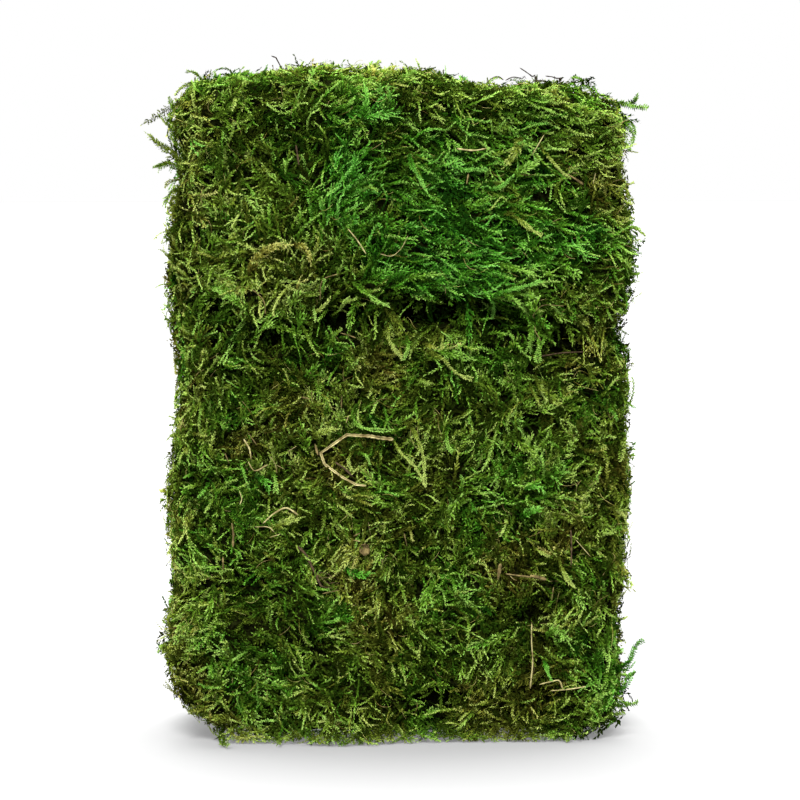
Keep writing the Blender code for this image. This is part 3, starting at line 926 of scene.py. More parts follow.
def dress_region(surface, name, number, forms):
    """Forms on one side of the clump."""
    wanted = REGIONS[name](surface.face_normals)
    area = surface.areas[wanted].sum() / SQUARE_CM
    parts = []
    for step, (kind, density) in enumerate(DENSITY[name].items()):
        seed = 1000 * number + 10 * step
        points, normals = surface.scatter(wanted, int(area * density), seed)
        free = surface.outside(points, normals)
        if kind != "under":
            free &= rng(seed + 1).random(len(points)) > in_hollow(points) * HOLLOW_CUT
        sink = SINK.get(name, 0)
        places = place_forms(surface, points[free], normals[free], seed + 2, KINDS[kind], sink)
        if kind == "thread":
            draw = rng(seed + 5)
            places["hue"] = draw.uniform(*THREAD_HUE, len(places["hue"]))
            places["light"] = draw.uniform(*THREAD_LIGHT, len(places["hue"]))
        parts += lay_kinds(places, forms[kind], KINDS[kind].length, seed + 6)
    return parts


# Sprigs that reach past the edge: kind, width, tone, then points in millimetres

SPRIG_WIDTH = 1.15
SPRIG_LIGHT = 0.85
SPRIG_TURNS = ((0, -1, 0.2), (0.2, -0.6, 1))
SINGLE_ROLL = 0.25
SINGLE_TWIST = 0.4
SPRIGS = [
    ("fine", 0.75, "yellow", (-70, -25, 205), (-83, -27, 218), (-93, -28, 227)),
    ("rope", 0.8, "yellow", (-72, -25, 208), (-84, -27, 220), (-92, -28, 225.5)),
    ("rope", 0.7, "olive", (-72, -22, 214), (-80, -22, 220), (-84, -22, 226)),
    ("rope", 0.8, "yellow", (-74, -16, 225), (-82, -17, 227), (-87, -18, 231.5)),
    ("strand", 0.9, "olive", (-76, -17, 229), (-82, -17, 233), (-85, -18, 237)),
    ("fine", 0.6, "olive", (-73, -30, 213), (-83, -31, 215.5), (-88, -32, 212.5)),
    ("rope", 0.7, "brown", (-74, -30, 210), (-82, -31, 209), (-86, -31, 207)),
    ("rope", 0.9, "yellow", (-66, -6, 238), (-76, -8, 244), (-82, -8, 240)),
    ("rope", 0.9, "olive", (-62, 4, 238), (-72, 4, 245), (-78.5, 4, 249)),
    ("strand", 0.8, "dim", (-60, 0, 244), (-63, 0, 249), (-68, 0, 246)),
    ("rope", 0.8, "olive", (-80, -12, 231), (-83, -12, 235.5), (-85, -12, 239)),
    ("strand", 1.0, "olive", (-80, -13, 230), (-84, -13, 230.5), (-86.6, -13, 233.3)),
    ("rope", 0.9, "olive", (-81, -18, 220), (-82, -18, 223), (-83.8, -18, 228.2)),
    ("rope", 1.1, "olive", (-80, -18, 204), (-83, -18, 205), (-86, -18, 199.5)),
    ("strand", 0.9, "dim", (-79, -18, 215), (-82.5, -18, 215), (-85.3, -18, 213.6)),
    ("rope", 1.5, "fresh", (72, -8, 235), (83, -9, 236.5), (93, -10, 235.4)),
    ("rope", 1.0, "fresh", (87, -9, 236), (88.3, -9, 238), (88.6, -9, 240)),
    ("rope", 1.2, "olive", (72, -12, 232), (82, -13, 231), (87, -14, 226)),
    ("rope", 1.2, "fresh", (72, -13, 228), (80, -14, 228), (85.5, -15, 220)),
    ("rope", 1.0, "dim", (72, -14, 226), (79, -15, 226), (83, -15, 220.5)),
    ("rope", 1.1, "fresh", (79, -14, 232), (86, -15, 228.5), (86, -15, 222)),
    ("rope", 1.0, "olive", (76, -16, 219), (80, -16, 220), (84.5, -16, 221.5)),
    ("fine", 0.9, "olive", (75, -12, 234), (82, -13, 232), (84.5, -13, 224.5)),
    ("fine", 0.8, "fresh", (74, -14, 229), (80, -15, 227.5), (84.5, -15, 223)),
    ("rope", 1.1, "olive", (76, -14, 230), (83, -14, 229.5), (84.7, -15, 223.5)),
    ("rope", 1.2, "dim", (76, -13, 231), (81, -14, 228), (82.3, -14, 221)),
    ("strand", 1.0, "olive", (79, -13, 234), (84, -13, 232), (86.5, -13, 226)),
    ("fine", 0.8, "dim", (73, -13, 226), (79, -14, 225), (82.5, -14, 221)),
    ("fine", 1.0, "fresh", (70, -12, 230), (79, -14, 231), (86, -14, 229)),
    ("rope", 0.8, "fresh", (62, 2, 240), (70, 0, 243), (73, 0, 240)),
    ("rope", 0.8, "fresh", (70, 2, 243), (69, 0, 245.5), (66, 0, 246)),
    ("rope", 1.1, "fresh", (51, -33, 163), (51.5, -38.5, 153), (51, -39.2, 143)),
    ("fine", 0.7, "fresh", (48, -33, 165), (49, -38, 157), (47.5, -38.5, 149)),
    ("rope", 1.5, "vivid", (76, -24, 20), (84, -25, 28.5), (91.5, -26, 37)),
    ("strand", 1.0, "vivid", (80, -24, 24), (84.7, -24, 26.3), (88.4, -24, 29)),
    ("rope", 1.3, "vivid", (76, -25, 13), (82.5, -25, 18.5), (88.5, -26, 24.5)),
    ("rope", 1.5, "fresh", (75, -26, 11), (83, -27, 12.8), (89, -28, 15.2)),
    ("rope", 1.1, "olive", (72, -27, 7), (79, -27, 8.5), (84, -27, 10.5)),
    ("rope", 1.5, "olive", (-66, -27, 8), (-66, -36, 3.5), (-63, -42, 1.5)),
    ("rope", 1.2, "olive", (-47, -27, 7), (-46, -35, 3.5), (-45, -40, 1.5)),
    ("rope", 0.8, "olive", (-84, -15, 216), (-88, -15, 214), (-90.5, -15, 213)),
    ("strand", 0.9, "yellow", (-82, -20, 178), (-86, -20, 182), (-88, -20, 184)),
    ("strand", 0.9, "yellow", (-82, -12, 192), (-86, -12, 190), (-89, -12, 186)),
]


def curve_places(rows, draw):
    """Places for single forms: rows of root, middle, end, up, width, hue and light."""
    columns = list(zip(*rows))
    root, through, end = (np.array(column, dtype=float) for column in columns[:3])
    up = unit(np.array(columns[3], dtype=float))
    count = len(rows)
    return {
        "root": root,
        "middle": 2 * through - (root + end) / 2,
        "end": end,
        "up_root": up,
        "up_end": up,
        "roll": draw.normal(0, SINGLE_ROLL, count),
        "twist": draw.normal(0, SINGLE_TWIST, count),
        "width": np.array(columns[4], dtype=float),
        "hue": np.array(columns[5], dtype=float),
        "light": np.array(columns[6], dtype=float),
    }


FINE_SPACING = 1.5
SINGLE_BRANCH = 2.6
SINGLE_OPENING = math.radians(57)


def form_of_length(kind, length, seed):
    """A form as long as the curve that it is laid along, in millimetres."""
    if kind == "fine":
        return pinnate_frond(seed, length, FINE_SPACING, SINGLE_BRANCH, SINGLE_OPENING, FINE_LEAF)
    if kind == "rope":
        return single_shoot(seed, length, ROPE_LEAF)
    return curled_strand(seed, length, STRAND_LEAF)


def lay_single(entries, seed):
    """Lays single forms. Each entry is a kind with its row for curve_places."""
    draw = rng(seed)
    parts = []
    for number, (kind, row) in enumerate(entries):
        root, through, end = (np.array(point) for point in row[:3])
        length = (np.linalg.norm(through - root) + np.linalg.norm(end - through)) / MM
        form = form_of_length(kind, length, 1000 * seed + number)
        parts.append(lay(form, length, curve_places([row], draw), draw))
    return parts


def sprig_entries():
    """Entries for the sprigs, each laid twice with different sides up so that it is round."""
    entries = []
    for kind, width, tone, *path in SPRIGS:
        points = [np.array(point) * MM + np.array((0, SHIFT, 0)) for point in path]
        hue, light = TONES[tone]
        for turn in SPRIG_TURNS:
            entries.append((kind, (*points, turn, SPRIG_WIDTH * width, hue, SPRIG_LIGHT * light)))
    return entries


# Fronds, ropes and strands that stand out: kind, width, tone, light, then three photo pixels

FEATURES = [
    ("fine", 1.0, "tan", 0.9, (248, 278), (264, 252), (292, 245)),
    ("fine", 0.8, "tan", 0.8, (290, 246), (304, 247), (311, 264)),
    ("strand", 0.9, "tan", 0.9, (300, 292), (298, 285), (303, 278)),
    ("rope", 0.8, "fresh", 1.0, (246, 306), (242, 326), (222, 362)),
    ("fine", 0.8, "fresh", 0.9, (250, 318), (234, 300), (214, 291)),
    ("rope", 0.9, "fresh", 1.0, (353, 281), (370, 297), (388, 305)),
    ("rope", 0.7, "olive", 0.9, (331, 317), (340, 308), (350, 298)),
    ("rope", 0.9, "yellow", 1.0, (381, 317), (391, 338), (400, 360)),
    ("rope", 0.8, "fresh", 0.9, (404, 335), (408, 348), (405, 360)),
    ("rope", 0.8, "yellow", 1.05, (428, 348), (448, 366), (471, 379)),
    ("fine", 0.9, "fresh", 1.0, (433, 351), (452, 354), (474, 360)),
    ("rope", 0.8, "vivid", 1.0, (489, 296), (492, 306), (492, 318)),
    ("rope", 0.9, "fresh", 0.9, (500, 290), (515, 300), (528, 318)),
    ("rope", 1.2, "fresh", 0.8, (533, 318), (532, 334), (529, 352)),
    ("fine", 0.8, "vivid", 1.0, (362, 122), (366, 104), (364, 84)),
    ("rope", 0.9, "vivid", 1.1, (409, 153), (415, 172), (427, 192)),
    ("rope", 1.0, "vivid", 1.1, (453, 161), (469, 171), (485, 168)),
    ("rope", 1.0, "vivid", 1.1, (485, 188), (498, 187), (514, 177)),
    ("fine", 0.9, "fresh", 1.1, (512, 176), (524, 170), (541, 160)),
    ("fine", 1.0, "yellow", 0.9, (520, 134), (516, 150), (503, 168)),
    ("rope", 0.8, "yellow", 0.9, (540, 142), (551, 161), (569, 177)),
    ("rope", 0.9, "vivid", 1.0, (486, 297), (512, 290), (540, 281)),
    ("fine", 0.8, "fresh", 1.0, (495, 263), (517, 269), (540, 277)),
    ("fine", 0.8, "fresh", 1.0, (402, 280), (421, 276), (443, 274)),
    ("rope", 0.9, "yellow", 0.8, (505, 213), (523, 223), (541, 235)),
    ("fine", 0.8, "yellow", 1.0, (311, 441), (322, 432), (340, 429)),
    ("rope", 0.8, "yellow", 1.0, (388, 440), (403, 453), (425, 485)),
    ("rope", 0.7, "yellow", 0.95, (403, 418), (420, 446), (425, 485)),
    ("rope", 0.8, "fresh", 0.9, (358, 404), (357, 424), (391, 431)),
    ("rope", 1.0, "fresh", 0.8, (447, 424), (448, 438), (451, 452)),
    ("rope", 0.7, "yellow", 0.9, (353, 449), (348, 460), (354, 470)),
    ("rope", 0.7, "fresh", 0.9, (358, 453), (366, 454), (370, 463)),
    ("fine", 0.9, "emerald", 0.62, (345, 561), (354, 573), (373, 573)),
    ("strand", 1.2, "yellow", 1.0, (326, 573), (334, 570), (338, 564)),
    ("strand", 1.1, "yellow", 0.95, (327, 565), (333, 560), (341, 558)),
    ("fine", 0.9, "emerald", 0.75, (254, 477), (265, 481), (269, 493)),
    ("rope", 0.9, "fresh", 0.85, (266, 472), (275, 478), (276, 492)),
    ("fine", 0.9, "yellow", 1.0, (273, 532), (284, 523), (303, 517)),
    ("fine", 1.0, "fresh", 1.1, (546, 641), (557, 631), (572, 648)),
    ("rope", 0.8, "yellow", 1.0, (580, 630), (589, 623), (597, 616)),
    ("rope", 0.8, "yellow", 0.9, (558, 555), (564, 573), (575, 587)),
    ("rope", 0.8, "yellow", 0.9, (535, 546), (541, 552), (548, 557)),
    ("rope", 0.8, "vivid", 1.0, (543, 660), (546, 669), (552, 679)),
    ("fine", 0.9, "vivid", 1.1, (524, 492), (534, 486), (545, 492)),
    ("fine", 0.9, "vivid", 1.0, (520, 520), (530, 512), (542, 508)),
    ("strand", 1.3, "emerald", 1.1, (188, 141), (193, 145), (199, 151)),
]
LEAST_FRONT = -29 * MM
FEATURE_PROUD = (-0.6, 1.4, 1.0)
FEATURE_TURNS = ((0, -1, 0.1), (0.3, -0.8, 0.6))


def feature_entries(surface):
    """Entries for the fronds that stand out, a little proud of the others."""
    _, _, _, ahead = camera_axes()
    ahead = np.array(ahead)
    entries = []
    for kind, width, tone, light, *pixels in FEATURES:
        points = []
        for (px, py), proud in zip(pixels, FEATURE_PROUD):
            place, _ = surface.behind_pixel(px, py)
            depth = min(place[1], LEAST_FRONT) - proud * MM
            points.append(place + ahead * (depth - place[1]) / ahead[1])
        hue = TONES[tone][0]
        for turn in FEATURE_TURNS:
            entries.append((kind, (*points, turn, width, hue, light)))
    return entries


# Fronds that hang over edges: ranges in millimetres

FRINGE_KINDS = ("fine", "fine", "rope", "strand")
FRINGE_HUE = 0.06
EDGE_REACH = 84
ROOT_SINK = 2.5 * MM
OUTSIDE = 0.2


def face_place(surface, side, across, height):
    """Place on the front (side -1) or the back (side 1) of the clump, at a height."""
    start = Vector((across, side * OUTSIDE, height))
    place, _, _, _ = surface.tree.ray_cast(start, Vector((0, -side, 0)))
    return np.array((across, 0.0, height) if place is None else place)


def hanging_frond(draw, points, up, widths, lights):
    """Entry for a frond along three points, in the tone of the moss around it."""
    hue, light = tone_at(points[1][None])[0]
    width = draw.uniform(*widths)
    kind = FRINGE_KINDS[draw.integers(len(FRINGE_KINDS))]
    hue += draw.normal(0, FRINGE_HUE)
    return kind, (*points, up, width, hue, light * draw.uniform(*lights))


FRINGE = 64
FRINGE_LEAN = 7
FRINGE_ABOVE = (3, 9)
FRINGE_MIDDLE = (0.5, 2.5)
FRINGE_BELOW = (1, 9)
FRINGE_PROUD = (0, 0.6)
FRINGE_DEEP = (0, 6)
FRINGE_FREE = (0.2, 1.0)
FRINGE_IN_HOLLOW = 0.8
FRINGE_WIDTH = (0.7, 1.1)
FRINGE_LIGHT = (0.6, 1.2)


def fringe_entries(surface, seed):
    """Fronds that hang from the upper sheet over the ledge."""
    draw = rng(seed)
    entries = []
    for across in draw.uniform(-EDGE_REACH, EDGE_REACH, FRINGE) * MM:
        edge = np.interp(across, *LEDGE.T)
        lean = draw.normal(0, FRINGE_LEAN) * MM
        root = face_place(surface, -1, across, edge + draw.uniform(*FRINGE_ABOVE) * MM)
        height = edge + draw.uniform(*FRINGE_MIDDLE) * MM
        middle = face_place(surface, -1, across + lean * 0.5, height)
        end = face_place(surface, -1, across + lean, edge - draw.uniform(*FRINGE_BELOW) * MM)
        root[1] += ROOT_SINK
        middle[1] -= draw.uniform(*FRINGE_PROUD) * MM
        deepest = middle[1] + draw.uniform(*FRINGE_DEEP) * MM
        end[1] = min(end[1], deepest) - draw.uniform(*FRINGE_FREE) * MM
        if in_hollow(end[None])[0] > draw.random() * FRINGE_IN_HOLLOW:
            continue
        points = (root, middle, end)
        entries.append(hanging_frond(draw, points, (0, -1, 0.2), FRINGE_WIDTH, FRINGE_LIGHT))
    return entries


SLOT_HEIGHT = 232 * MM
SLOT_FRINGE = 110
SLOT_LEAN = 6
SLOT_ABOVE = (3, 7)
SLOT_BELOW = (2, 8)
SLOT_PROUD = (0, 0.8)
SLOT_FREE = (0, 1)
SLOT_WIDTH = (0.8, 1.2)
SLOT_LIGHT = (0.6, 1.2)


def slot_entries(surface, seed):
    """Fronds that hang from the upper sheet over the slot at the back."""
    draw = rng(seed)
    entries = []
    for across in draw.uniform(-EDGE_REACH, EDGE_REACH, SLOT_FRINGE) * MM:
        lean = draw.normal(0, SLOT_LEAN) * MM
        root = face_place(surface, 1, across, SLOT_HEIGHT + draw.uniform(*SLOT_ABOVE) * MM)
        end = face_place(surface, 1, across + lean, SLOT_HEIGHT - draw.uniform(*SLOT_BELOW) * MM)
        middle = (root + end) / 2
        middle[1] = max(root[1], end[1]) + draw.uniform(*SLOT_PROUD) * MM
        root[1] -= ROOT_SINK
        end[1] += draw.uniform(*SLOT_FREE) * MM
        points = (root, middle, end)
        entries.append(hanging_frond(draw, points, (0, 1, 0.2), SLOT_WIDTH, SLOT_LIGHT))
    return entries


# Steps between the fronds at the foot of the front (-1) and of the back (1)
FOOT_SPACING = {-1: 1.1 * MM, 1: 1.4 * MM}
FOOT_REACH = 66 * MM
FOOT_SCATTER = 1
FOOT_HEIGHT = (5, 10)
FOOT_LEAN = 6
FOOT_OUT = (-0.5, 1.2)
FOOT_END = (0.3, 2.5)
FOOT_WIDTH = (0.7, 1.1)
FOOT_LIGHT = (0.5, 1.1)


def foot_entries(surface, seed):
    """Fronds that hang down to the floor, for each side of FOOT_SPACING."""
    draw = rng(seed)
    entries = []
    for side, spacing in FOOT_SPACING.items():
        for across in np.arange(-FOOT_REACH, FOOT_REACH, spacing):
            across += draw.normal(0, FOOT_SCATTER) * MM
            height = draw.uniform(*FOOT_HEIGHT) * MM
            face = face_place(surface, side, across, height)[1]
            lean = draw.normal(0, FOOT_LEAN) * MM
            out = side * draw.uniform(*FOOT_OUT) * MM
            root = np.array((across - lean / 2, face - side * ROOT_SINK, height))
            middle = np.array((across, face + out, height * 0.5))
            end = np.array((across + lean, face + out * 0.5, draw.uniform(*FOOT_END) * MM))
            points = (root, middle, end)
            entries.append(hanging_frond(draw, points, (0, side, 0.3), FOOT_WIDTH, FOOT_LIGHT))
    return entries


# Beds under the fronds, near black as painted shade in the gaps between them

BED_DEPTH = 4.5 * MM
BED_SHARE = 0.45
SPRIG_THICKNESS = 4.6 * MM
COVER_INSET = 3 * MM
COVER_REACH = 6 * MM
OVERLAP = 1.5 * MM
BACK_AND_FRONT = (Vector((0, -1, 0)), Vector((0, 1, 0)))
LOOKS_ALONG = 0.1
THICKEST = 40 * MM
BED_SKIN = 0.02
BED_BUMP = 1.1
BED_GRAIN = 4 * MM
BED_FLOOR = 0.1 * MM


def other_sheets(name):
    """Tree of the sheets that this one lies against."""
    form = bmesh.new()
    for other in SHEETS:
        if other != name:
            form.from_mesh(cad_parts[other].data)
    tree = BVHTree.FromBMesh(form)
    form.free()
    return tree


def way_to_others(others, vert):
    """Way to the sheet that lies against this one at a vertex, or None."""
    start = vert.co - vert.normal * COVER_INSET
    for way in BACK_AND_FRONT:
        covered = others.ray_cast(start, way, COVER_REACH)[0] is not None
        if covered and way.dot(vert.normal) > LOOKS_ALONG:
            return way
    return None


def draw_in(form, others):
    """Moves the faces of a sheet inwards, but not where it touches another one.

    Its thin sprigs go, because the fronds take their place.
    """
    tree = BVHTree.FromBMesh(form)
    moves = []
    sprigs = []
    for vert in form.verts:
        under = tree.ray_cast(vert.co - vert.normal * BED_SKIN * MM, -vert.normal, THICKEST)
        thickness = under[3] if under[0] is not None else THICKEST
        move = -vert.normal * min(BED_DEPTH, BED_SHARE * thickness)
        way = way_to_others(others, vert)
        if way is not None:
            move.y = way.y * OVERLAP
        moves.append(move)
        if thickness < SPRIG_THICKNESS:
            sprigs.append(vert)
    for vert, move in zip(form.verts, moves):
        vert.co += move
    bmesh.ops.delete(form, geom=sprigs, context="VERTS")
    bmesh.ops.holes_fill(form, edges=form.edges)


def roughen(form):
    """Small bumps all over a bed, kept above the floor."""
    bmesh.ops.subdivide_edges(form, edges=form.edges, cuts=1, use_grid_fill=True)
    form.normal_update()
    moves = []
    for vert in form.verts:
        moves.append(vert.normal * BED_BUMP * MM * noise.noise(vert.co / BED_GRAIN))
    for vert, move in zip(form.verts, moves):
        vert.co += move
        vert.co.z = max(vert.co.z, BED_FLOOR)
    bmesh.ops.triangulate(form, faces=form.faces)


def add_bed(name, material):
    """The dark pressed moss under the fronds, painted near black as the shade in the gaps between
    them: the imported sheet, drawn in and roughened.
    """
    form = bmesh.new()
    form.from_mesh(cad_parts[name].data)
    bmesh.ops.remove_doubles(form, verts=form.verts, dist=WELD)
    form.normal_update()
    draw_in(form, other_sheets(name))
    roughen(form)
    mesh = bpy.data.meshes.new(name + "_bed")
    form.to_mesh(mesh)
    form.free()
    mesh.materials.clear()
    mesh.materials.append(material)
    add_piece(name + "_bed", mesh, name)


# Stage

FLOOR_SIDE = 8
FLOOR_SHADE = 0.13
FLOOR_GLOW = 0.2


def add_floor():
    """A pale matt floor with a faint glow of its own, so that shadows on it stay soft."""
    bpy.ops.mesh.primitive_plane_add(size=FLOOR_SIDE)
    floor = bpy.context.active_object
    floor.name = "floor"
    material, _, shader = new_material("pale_floor")
    shader.inputs["Base Color"].default_value = (FLOOR_SHADE, FLOOR_SHADE, FLOOR_SHADE, 1)
    shader.inputs["Emission Color"].default_value = (1, 1, 1, 1)
    shader.inputs["Emission Strength"].default_value = FLOOR_GLOW
    shader.inputs["Roughness"].default_value = 1.0
    shader.inputs["Specular IOR Level"].default_value = 0.0
    floor.data.materials.append(material)


def add_world():
    """Even white light from all around."""
    world = bpy.data.worlds.new("studio")
    world.use_nodes = True
    background = world.node_tree.nodes["Background"]
    background.inputs["Color"].default_value = (1, 1, 1, 1)
    background.inputs["Strength"].default_value = 1.0
    bpy.context.scene.world = world


# Far lamps: name, azimuth, elevation and softness in degrees, strength
SUNS = [
    ("key", -8, 43, 20, 9.8),
    ("back_left", -150, 66, 40, 7.7),
    ("back_right", 150, 66, 40, 7.7),
    ("left", -100, 28, 60, 3.2),
    ("right", 100, 28, 60, 3.2),
]


def add_sun(name, azimuth, elevation, softness, strength):
    """A soft far lamp that shines on the clump."""
    data = bpy.data.lights.new(name, "SUN")
    data.angle = math.radians(softness)
    data.energy = strength
    lamp = bpy.data.objects.new(name, data)
    place = outward(math.radians(azimuth), math.radians(elevation))
    lamp.location = place
    lamp.rotation_euler = (-place).to_track_quat("-Z", "Y").to_euler()
    bpy.context.scene.collection.objects.link(lamp)


def camera_axes():
    """Place of the camera and its ways to the right, up and ahead."""
    back = outward(CAMERA_AZIMUTH, CAMERA_ELEVATION)
    right = (-back).cross(Vector((0, 0, 1))).normalized()
    up = right.cross(-back)
    return CAMERA_TARGET + back * CAMERA_DISTANCE, right, up, -back


def add_camera():
    eye, _, _, ahead = camera_axes()
    data = bpy.data.cameras.new("camera")
    data.lens = CAMERA_LENS
    data.sensor_width = SENSOR
    camera = bpy.data.objects.new("camera", data)
    camera.location = eye
    camera.rotation_euler = ahead.to_track_quat("-Z", "Y").to_euler()
    bpy.context.scene.collection.objects.link(camera)
    bpy.context.scene.camera = camera


# Shapes that are laid again and again: how many, branchlets' opening in degrees and length
FROND_SHAPES = 16
ROPE_SHAPES = 8
STRAND_SHAPES = 10
THREAD_SHAPES = 8
OPENINGS = (52, 57, 62, 67)
BRANCH_LENGTH = 2.3
BRANCH_LENGTH_STEP = 0.3
BRANCH_LENGTHS = 5
WIDE_SPACING = 2.6
WIDE_EXTRA = 0.6


def make_forms():
    """The shapes of each kind. Each shape has a seed of its own."""
    fine = []
    wide = []
    fine_length = KINDS["fine"].length
    wide_length = KINDS["wide"].length
    for k in range(FROND_SHAPES):
        opening = math.radians(OPENINGS[k % len(OPENINGS)])
        longest = BRANCH_LENGTH + BRANCH_LENGTH_STEP * (k % BRANCH_LENGTHS)
        longer = longest + WIDE_EXTRA
        fine.append(pinnate_frond(k, fine_length, FINE_SPACING, longest, opening, FINE_LEAF))
        wide.append(pinnate_frond(30 + k, wide_length, WIDE_SPACING, longer, opening, WIDE_LEAF))
    ropes = range(60, 60 + ROPE_SHAPES)
    strands = range(70, 70 + STRAND_SHAPES)
    threads = range(90, 90 + THREAD_SHAPES)
    return {
        "fine": fine,
        "wide": wide,
        "under": wide,
        "rope": [single_shoot(k, KINDS["rope"].length, ROPE_LEAF) for k in ropes],
        "strand": [curled_strand(k, KINDS["strand"].length, STRAND_LEAF) for k in strands],
        "thread": [bare_thread(k, KINDS["thread"].length) for k in threads],
    }


# Straws and twigs: node, material, half width at both ends in millimetres, then photo pixels

STRAWS = [
    ("bent_straw", "crease", 0.62, 0.42, [
        (393.3, 439.2), (380, 437.8), (370, 436), (350.5, 435), (347, 434.6), (320.8, 452.9),
        (324.6, 464.1), (342, 476.8), (356, 484.5), (366, 485.5),
    ]),
    ("arched_straw", "straw", 0.28, 0.34, [
        (263.2, 523.3), (274.1, 513.5), (286, 507.9), (298.3, 514.9),
    ]),
    ("upright_stalk", "straw", 0.22, 0.32, [
        (531.5, 621.6), (531.5, 642), (532.6, 660.4), (530, 688),
    ]),
    ("dark_twig", "twig", 0.3, 0.3, [(570.8, 530), (571.4, 548), (570.8, 565.5)]),
    ("left_straw_upper", "straw", 0.34, 0.26, [(243.9, 439.1), (249.6, 449), (251.3, 459.5)]),
    ("left_straw_lower", "straw", 0.26, 0.3, [(248.2, 461.6), (254.1, 470.4), (267.8, 464.7)]),
    ("brown_root", "twig", 0.55, 0.4, [
        (298, 546.5), (305.2, 553.7), (312.1, 566.7), (321.3, 586.6),
    ]),
    ("bottom_straw_left", "straw", 0.26, 0.3, [
        (539.2, 684.4), (551.4, 681.3), (558.6, 680.3), (562.7, 689),
    ]),
    ("bottom_straw_right", "straw", 0.3, 0.24, [(565.7, 689.5), (585.6, 686.4)]),
    ("upper_straw", "straw", 0.34, 0.28, [(457, 149), (475, 150.5), (487, 148.5)]),
    ("upper_stick", "twig", 0.4, 0.3, [(296, 145), (299, 165)]),
    ("thin_straw", "straw", 0.2, 0.26, [(348, 229), (357, 240), (366, 254)]),
    ("pink_stem", "scrap", 0.22, 0.5, [(567, 174), (575, 179), (583, 184.5)]),
    ("wood_chip_upright", "scrap", 0.9, 0.5, [(500.4, 563.5), (499.2, 571.4), (497.9, 579.3)]),
    ("wood_chip_level", "scrap", 0.55, 0.75, [(530, 575.5), (538, 577.3), (546, 579.3)]),
]
# Small loose ones: material, half widths in millimetres, then photo pixels
LOOSE_WIDTH = 0.8
LOOSE = [
    ("straw", 0.22, 0.2, [(348.6, 415.5), (346.3, 422.7)]),
    ("straw", 0.16, 0.2, [(269.9, 456), (275.5, 464.4), (276.9, 472.8)]),
    ("straw", 0.2, 0.16, [(276.9, 465), (284.7, 469.3)]),
    ("scrap", 0.3, 0.25, [(225, 453.2), (229.2, 463)]),
    ("straw", 0.2, 0.26, [(255.2, 526.8), (270.6, 528.2), (274.1, 531.8)]),
    ("straw", 0.2, 0.2, [(269.9, 537.4), (280.4, 533.9)]),
    ("straw", 0.2, 0.24, [(239.4, 490.4), (241.8, 499.5), (240, 504.4)]),
    ("scrap", 0.2, 0.26, [(248.2, 432.8), (256.9, 445.1)]),
    ("straw", 0.3, 0.16, [(296.6, 446.1), (287.5, 451.8)]),
    ("straw", 0.2, 0.24, [(509.6, 575.2), (513.7, 579.3), (516.7, 580.3)]),
    ("scrap", 0.3, 0.5, [(505.5, 573.7), (518, 575.4), (531, 577)]),
    ("scrap", 0.34, 0.3, [(553.5, 587), (551.4, 600.2)]),
    ("straw", 0.2, 0.22, [(550.4, 690.5), (565.7, 689.5)]),
    ("straw", 0.16, 0.2, [(575.9, 540), (590.2, 556.3)]),
    ("twig", 0.24, 0.16, [(316, 574.4), (321.3, 585.6), (332.8, 588.1)]),
    ("twig", 0.2, 0.14, [(316, 574.4), (324, 577.6), (333, 576.5)]),
    ("twig", 0.2, 0.12, [(318, 572), (327, 573.4), (335, 578.5)]),
    ("twig", 0.16, 0.12, [(320, 577), (328, 583), (336, 582)]),
    ("scrap", 0.3, 0.2, [(322.5, 593.5), (338.9, 590)]),
    ("straw", 0.45, 0.3, [(353.5, 540), (360.3, 541.5)]),
    ("scrap", 0.26, 0.4, [(353.5, 536), (360.3, 533)]),
    ("scrap", 0.4, 0.3, [(468.4, 174), (466.6, 184)]),
    ("straw", 0.14, 0.18, [(380, 254), (392, 256), (400, 250), (408, 236)]),
    ("scrap", 0.18, 0.24, [(320, 300), (323, 280), (338, 274)]),
    ("scrap", 0.16, 0.2, [(563.7, 306), (540, 307), (531.5, 319.8), (540.7, 341)]),
    ("twig", 0.35, 0.25, [(539, 356.5), (562, 353), (583.5, 352)]),
    ("scrap", 0.2, 0.3, [(340, 333), (348, 335), (356, 338)]),
    ("scrap", 0.18, 0.22, [(251.7, 289), (264, 301.4), (265.5, 313.6)]),
    ("straw", 0.14, 0.18, [(593, 184), (595.5, 173)]),
    ("straw", 0.2, 0.2, [(544, 135), (531.8, 155.5)]),
    ("scrap", 0.3, 0.22, [(404, 533), (407, 546)]),
    ("scrap", 0.4, 0.6, [(232, 523), (233.5, 535), (233, 547)]),
    ("scrap", 0.4, 0.4, [(223, 557), (223.6, 571)]),
    ("scrap", 0.5, 0.6, [(315, 444), (318, 455)]),
    ("scrap", 0.4, 0.3, [(341.6, 395), (341.4, 408)]),
    ("scrap", 0.4, 0.3, [(301, 397), (310, 399)]),
    ("twig", 0.45, 0.4, [(335, 462), (345, 469), (353, 477)]),
]
# Dark twigs on the outline: node or none, half widths in millimetres, then photo pixels
EDGE_TWIGS = [
    ("top_twig_long", 0.2, 0.28, [
        (520.3, 66.3), (526, 70), (533, 75.3), (536.6, 78.9), (546, 80.5),
    ]),
    ("top_twig_short", 0.2, 0.3, [(544.8, 77.3), (551.4, 78.4), (558.6, 79.6), (562.7, 75.8)]),
    ("top_stem", 0.22, 0.2, [(506, 79), (512.7, 75.8), (520.8, 76.8), (526, 79.5)]),
    (None, 0.25, 0.3, [(491, 77.4), (498.4, 75.3), (504, 78.5)]),
    (None, 0.3, 0.3, [(536, 77), (536.2, 84.5)]),
    (None, 0.2, 0.2, [(553.5, 78.2), (557, 76.3)]),
    (None, 0.25, 0.2, [(275, 66), (283, 68.5), (292, 73)]),
    (None, 0.35, 0.3, [(612, 150), (616.7, 154), (624, 159.5)]),
    (None, 0.4, 0.35, [(606, 667), (614, 665.5), (621.5, 659.5)]),
]
EDGE_DEPTH = -14 * MM
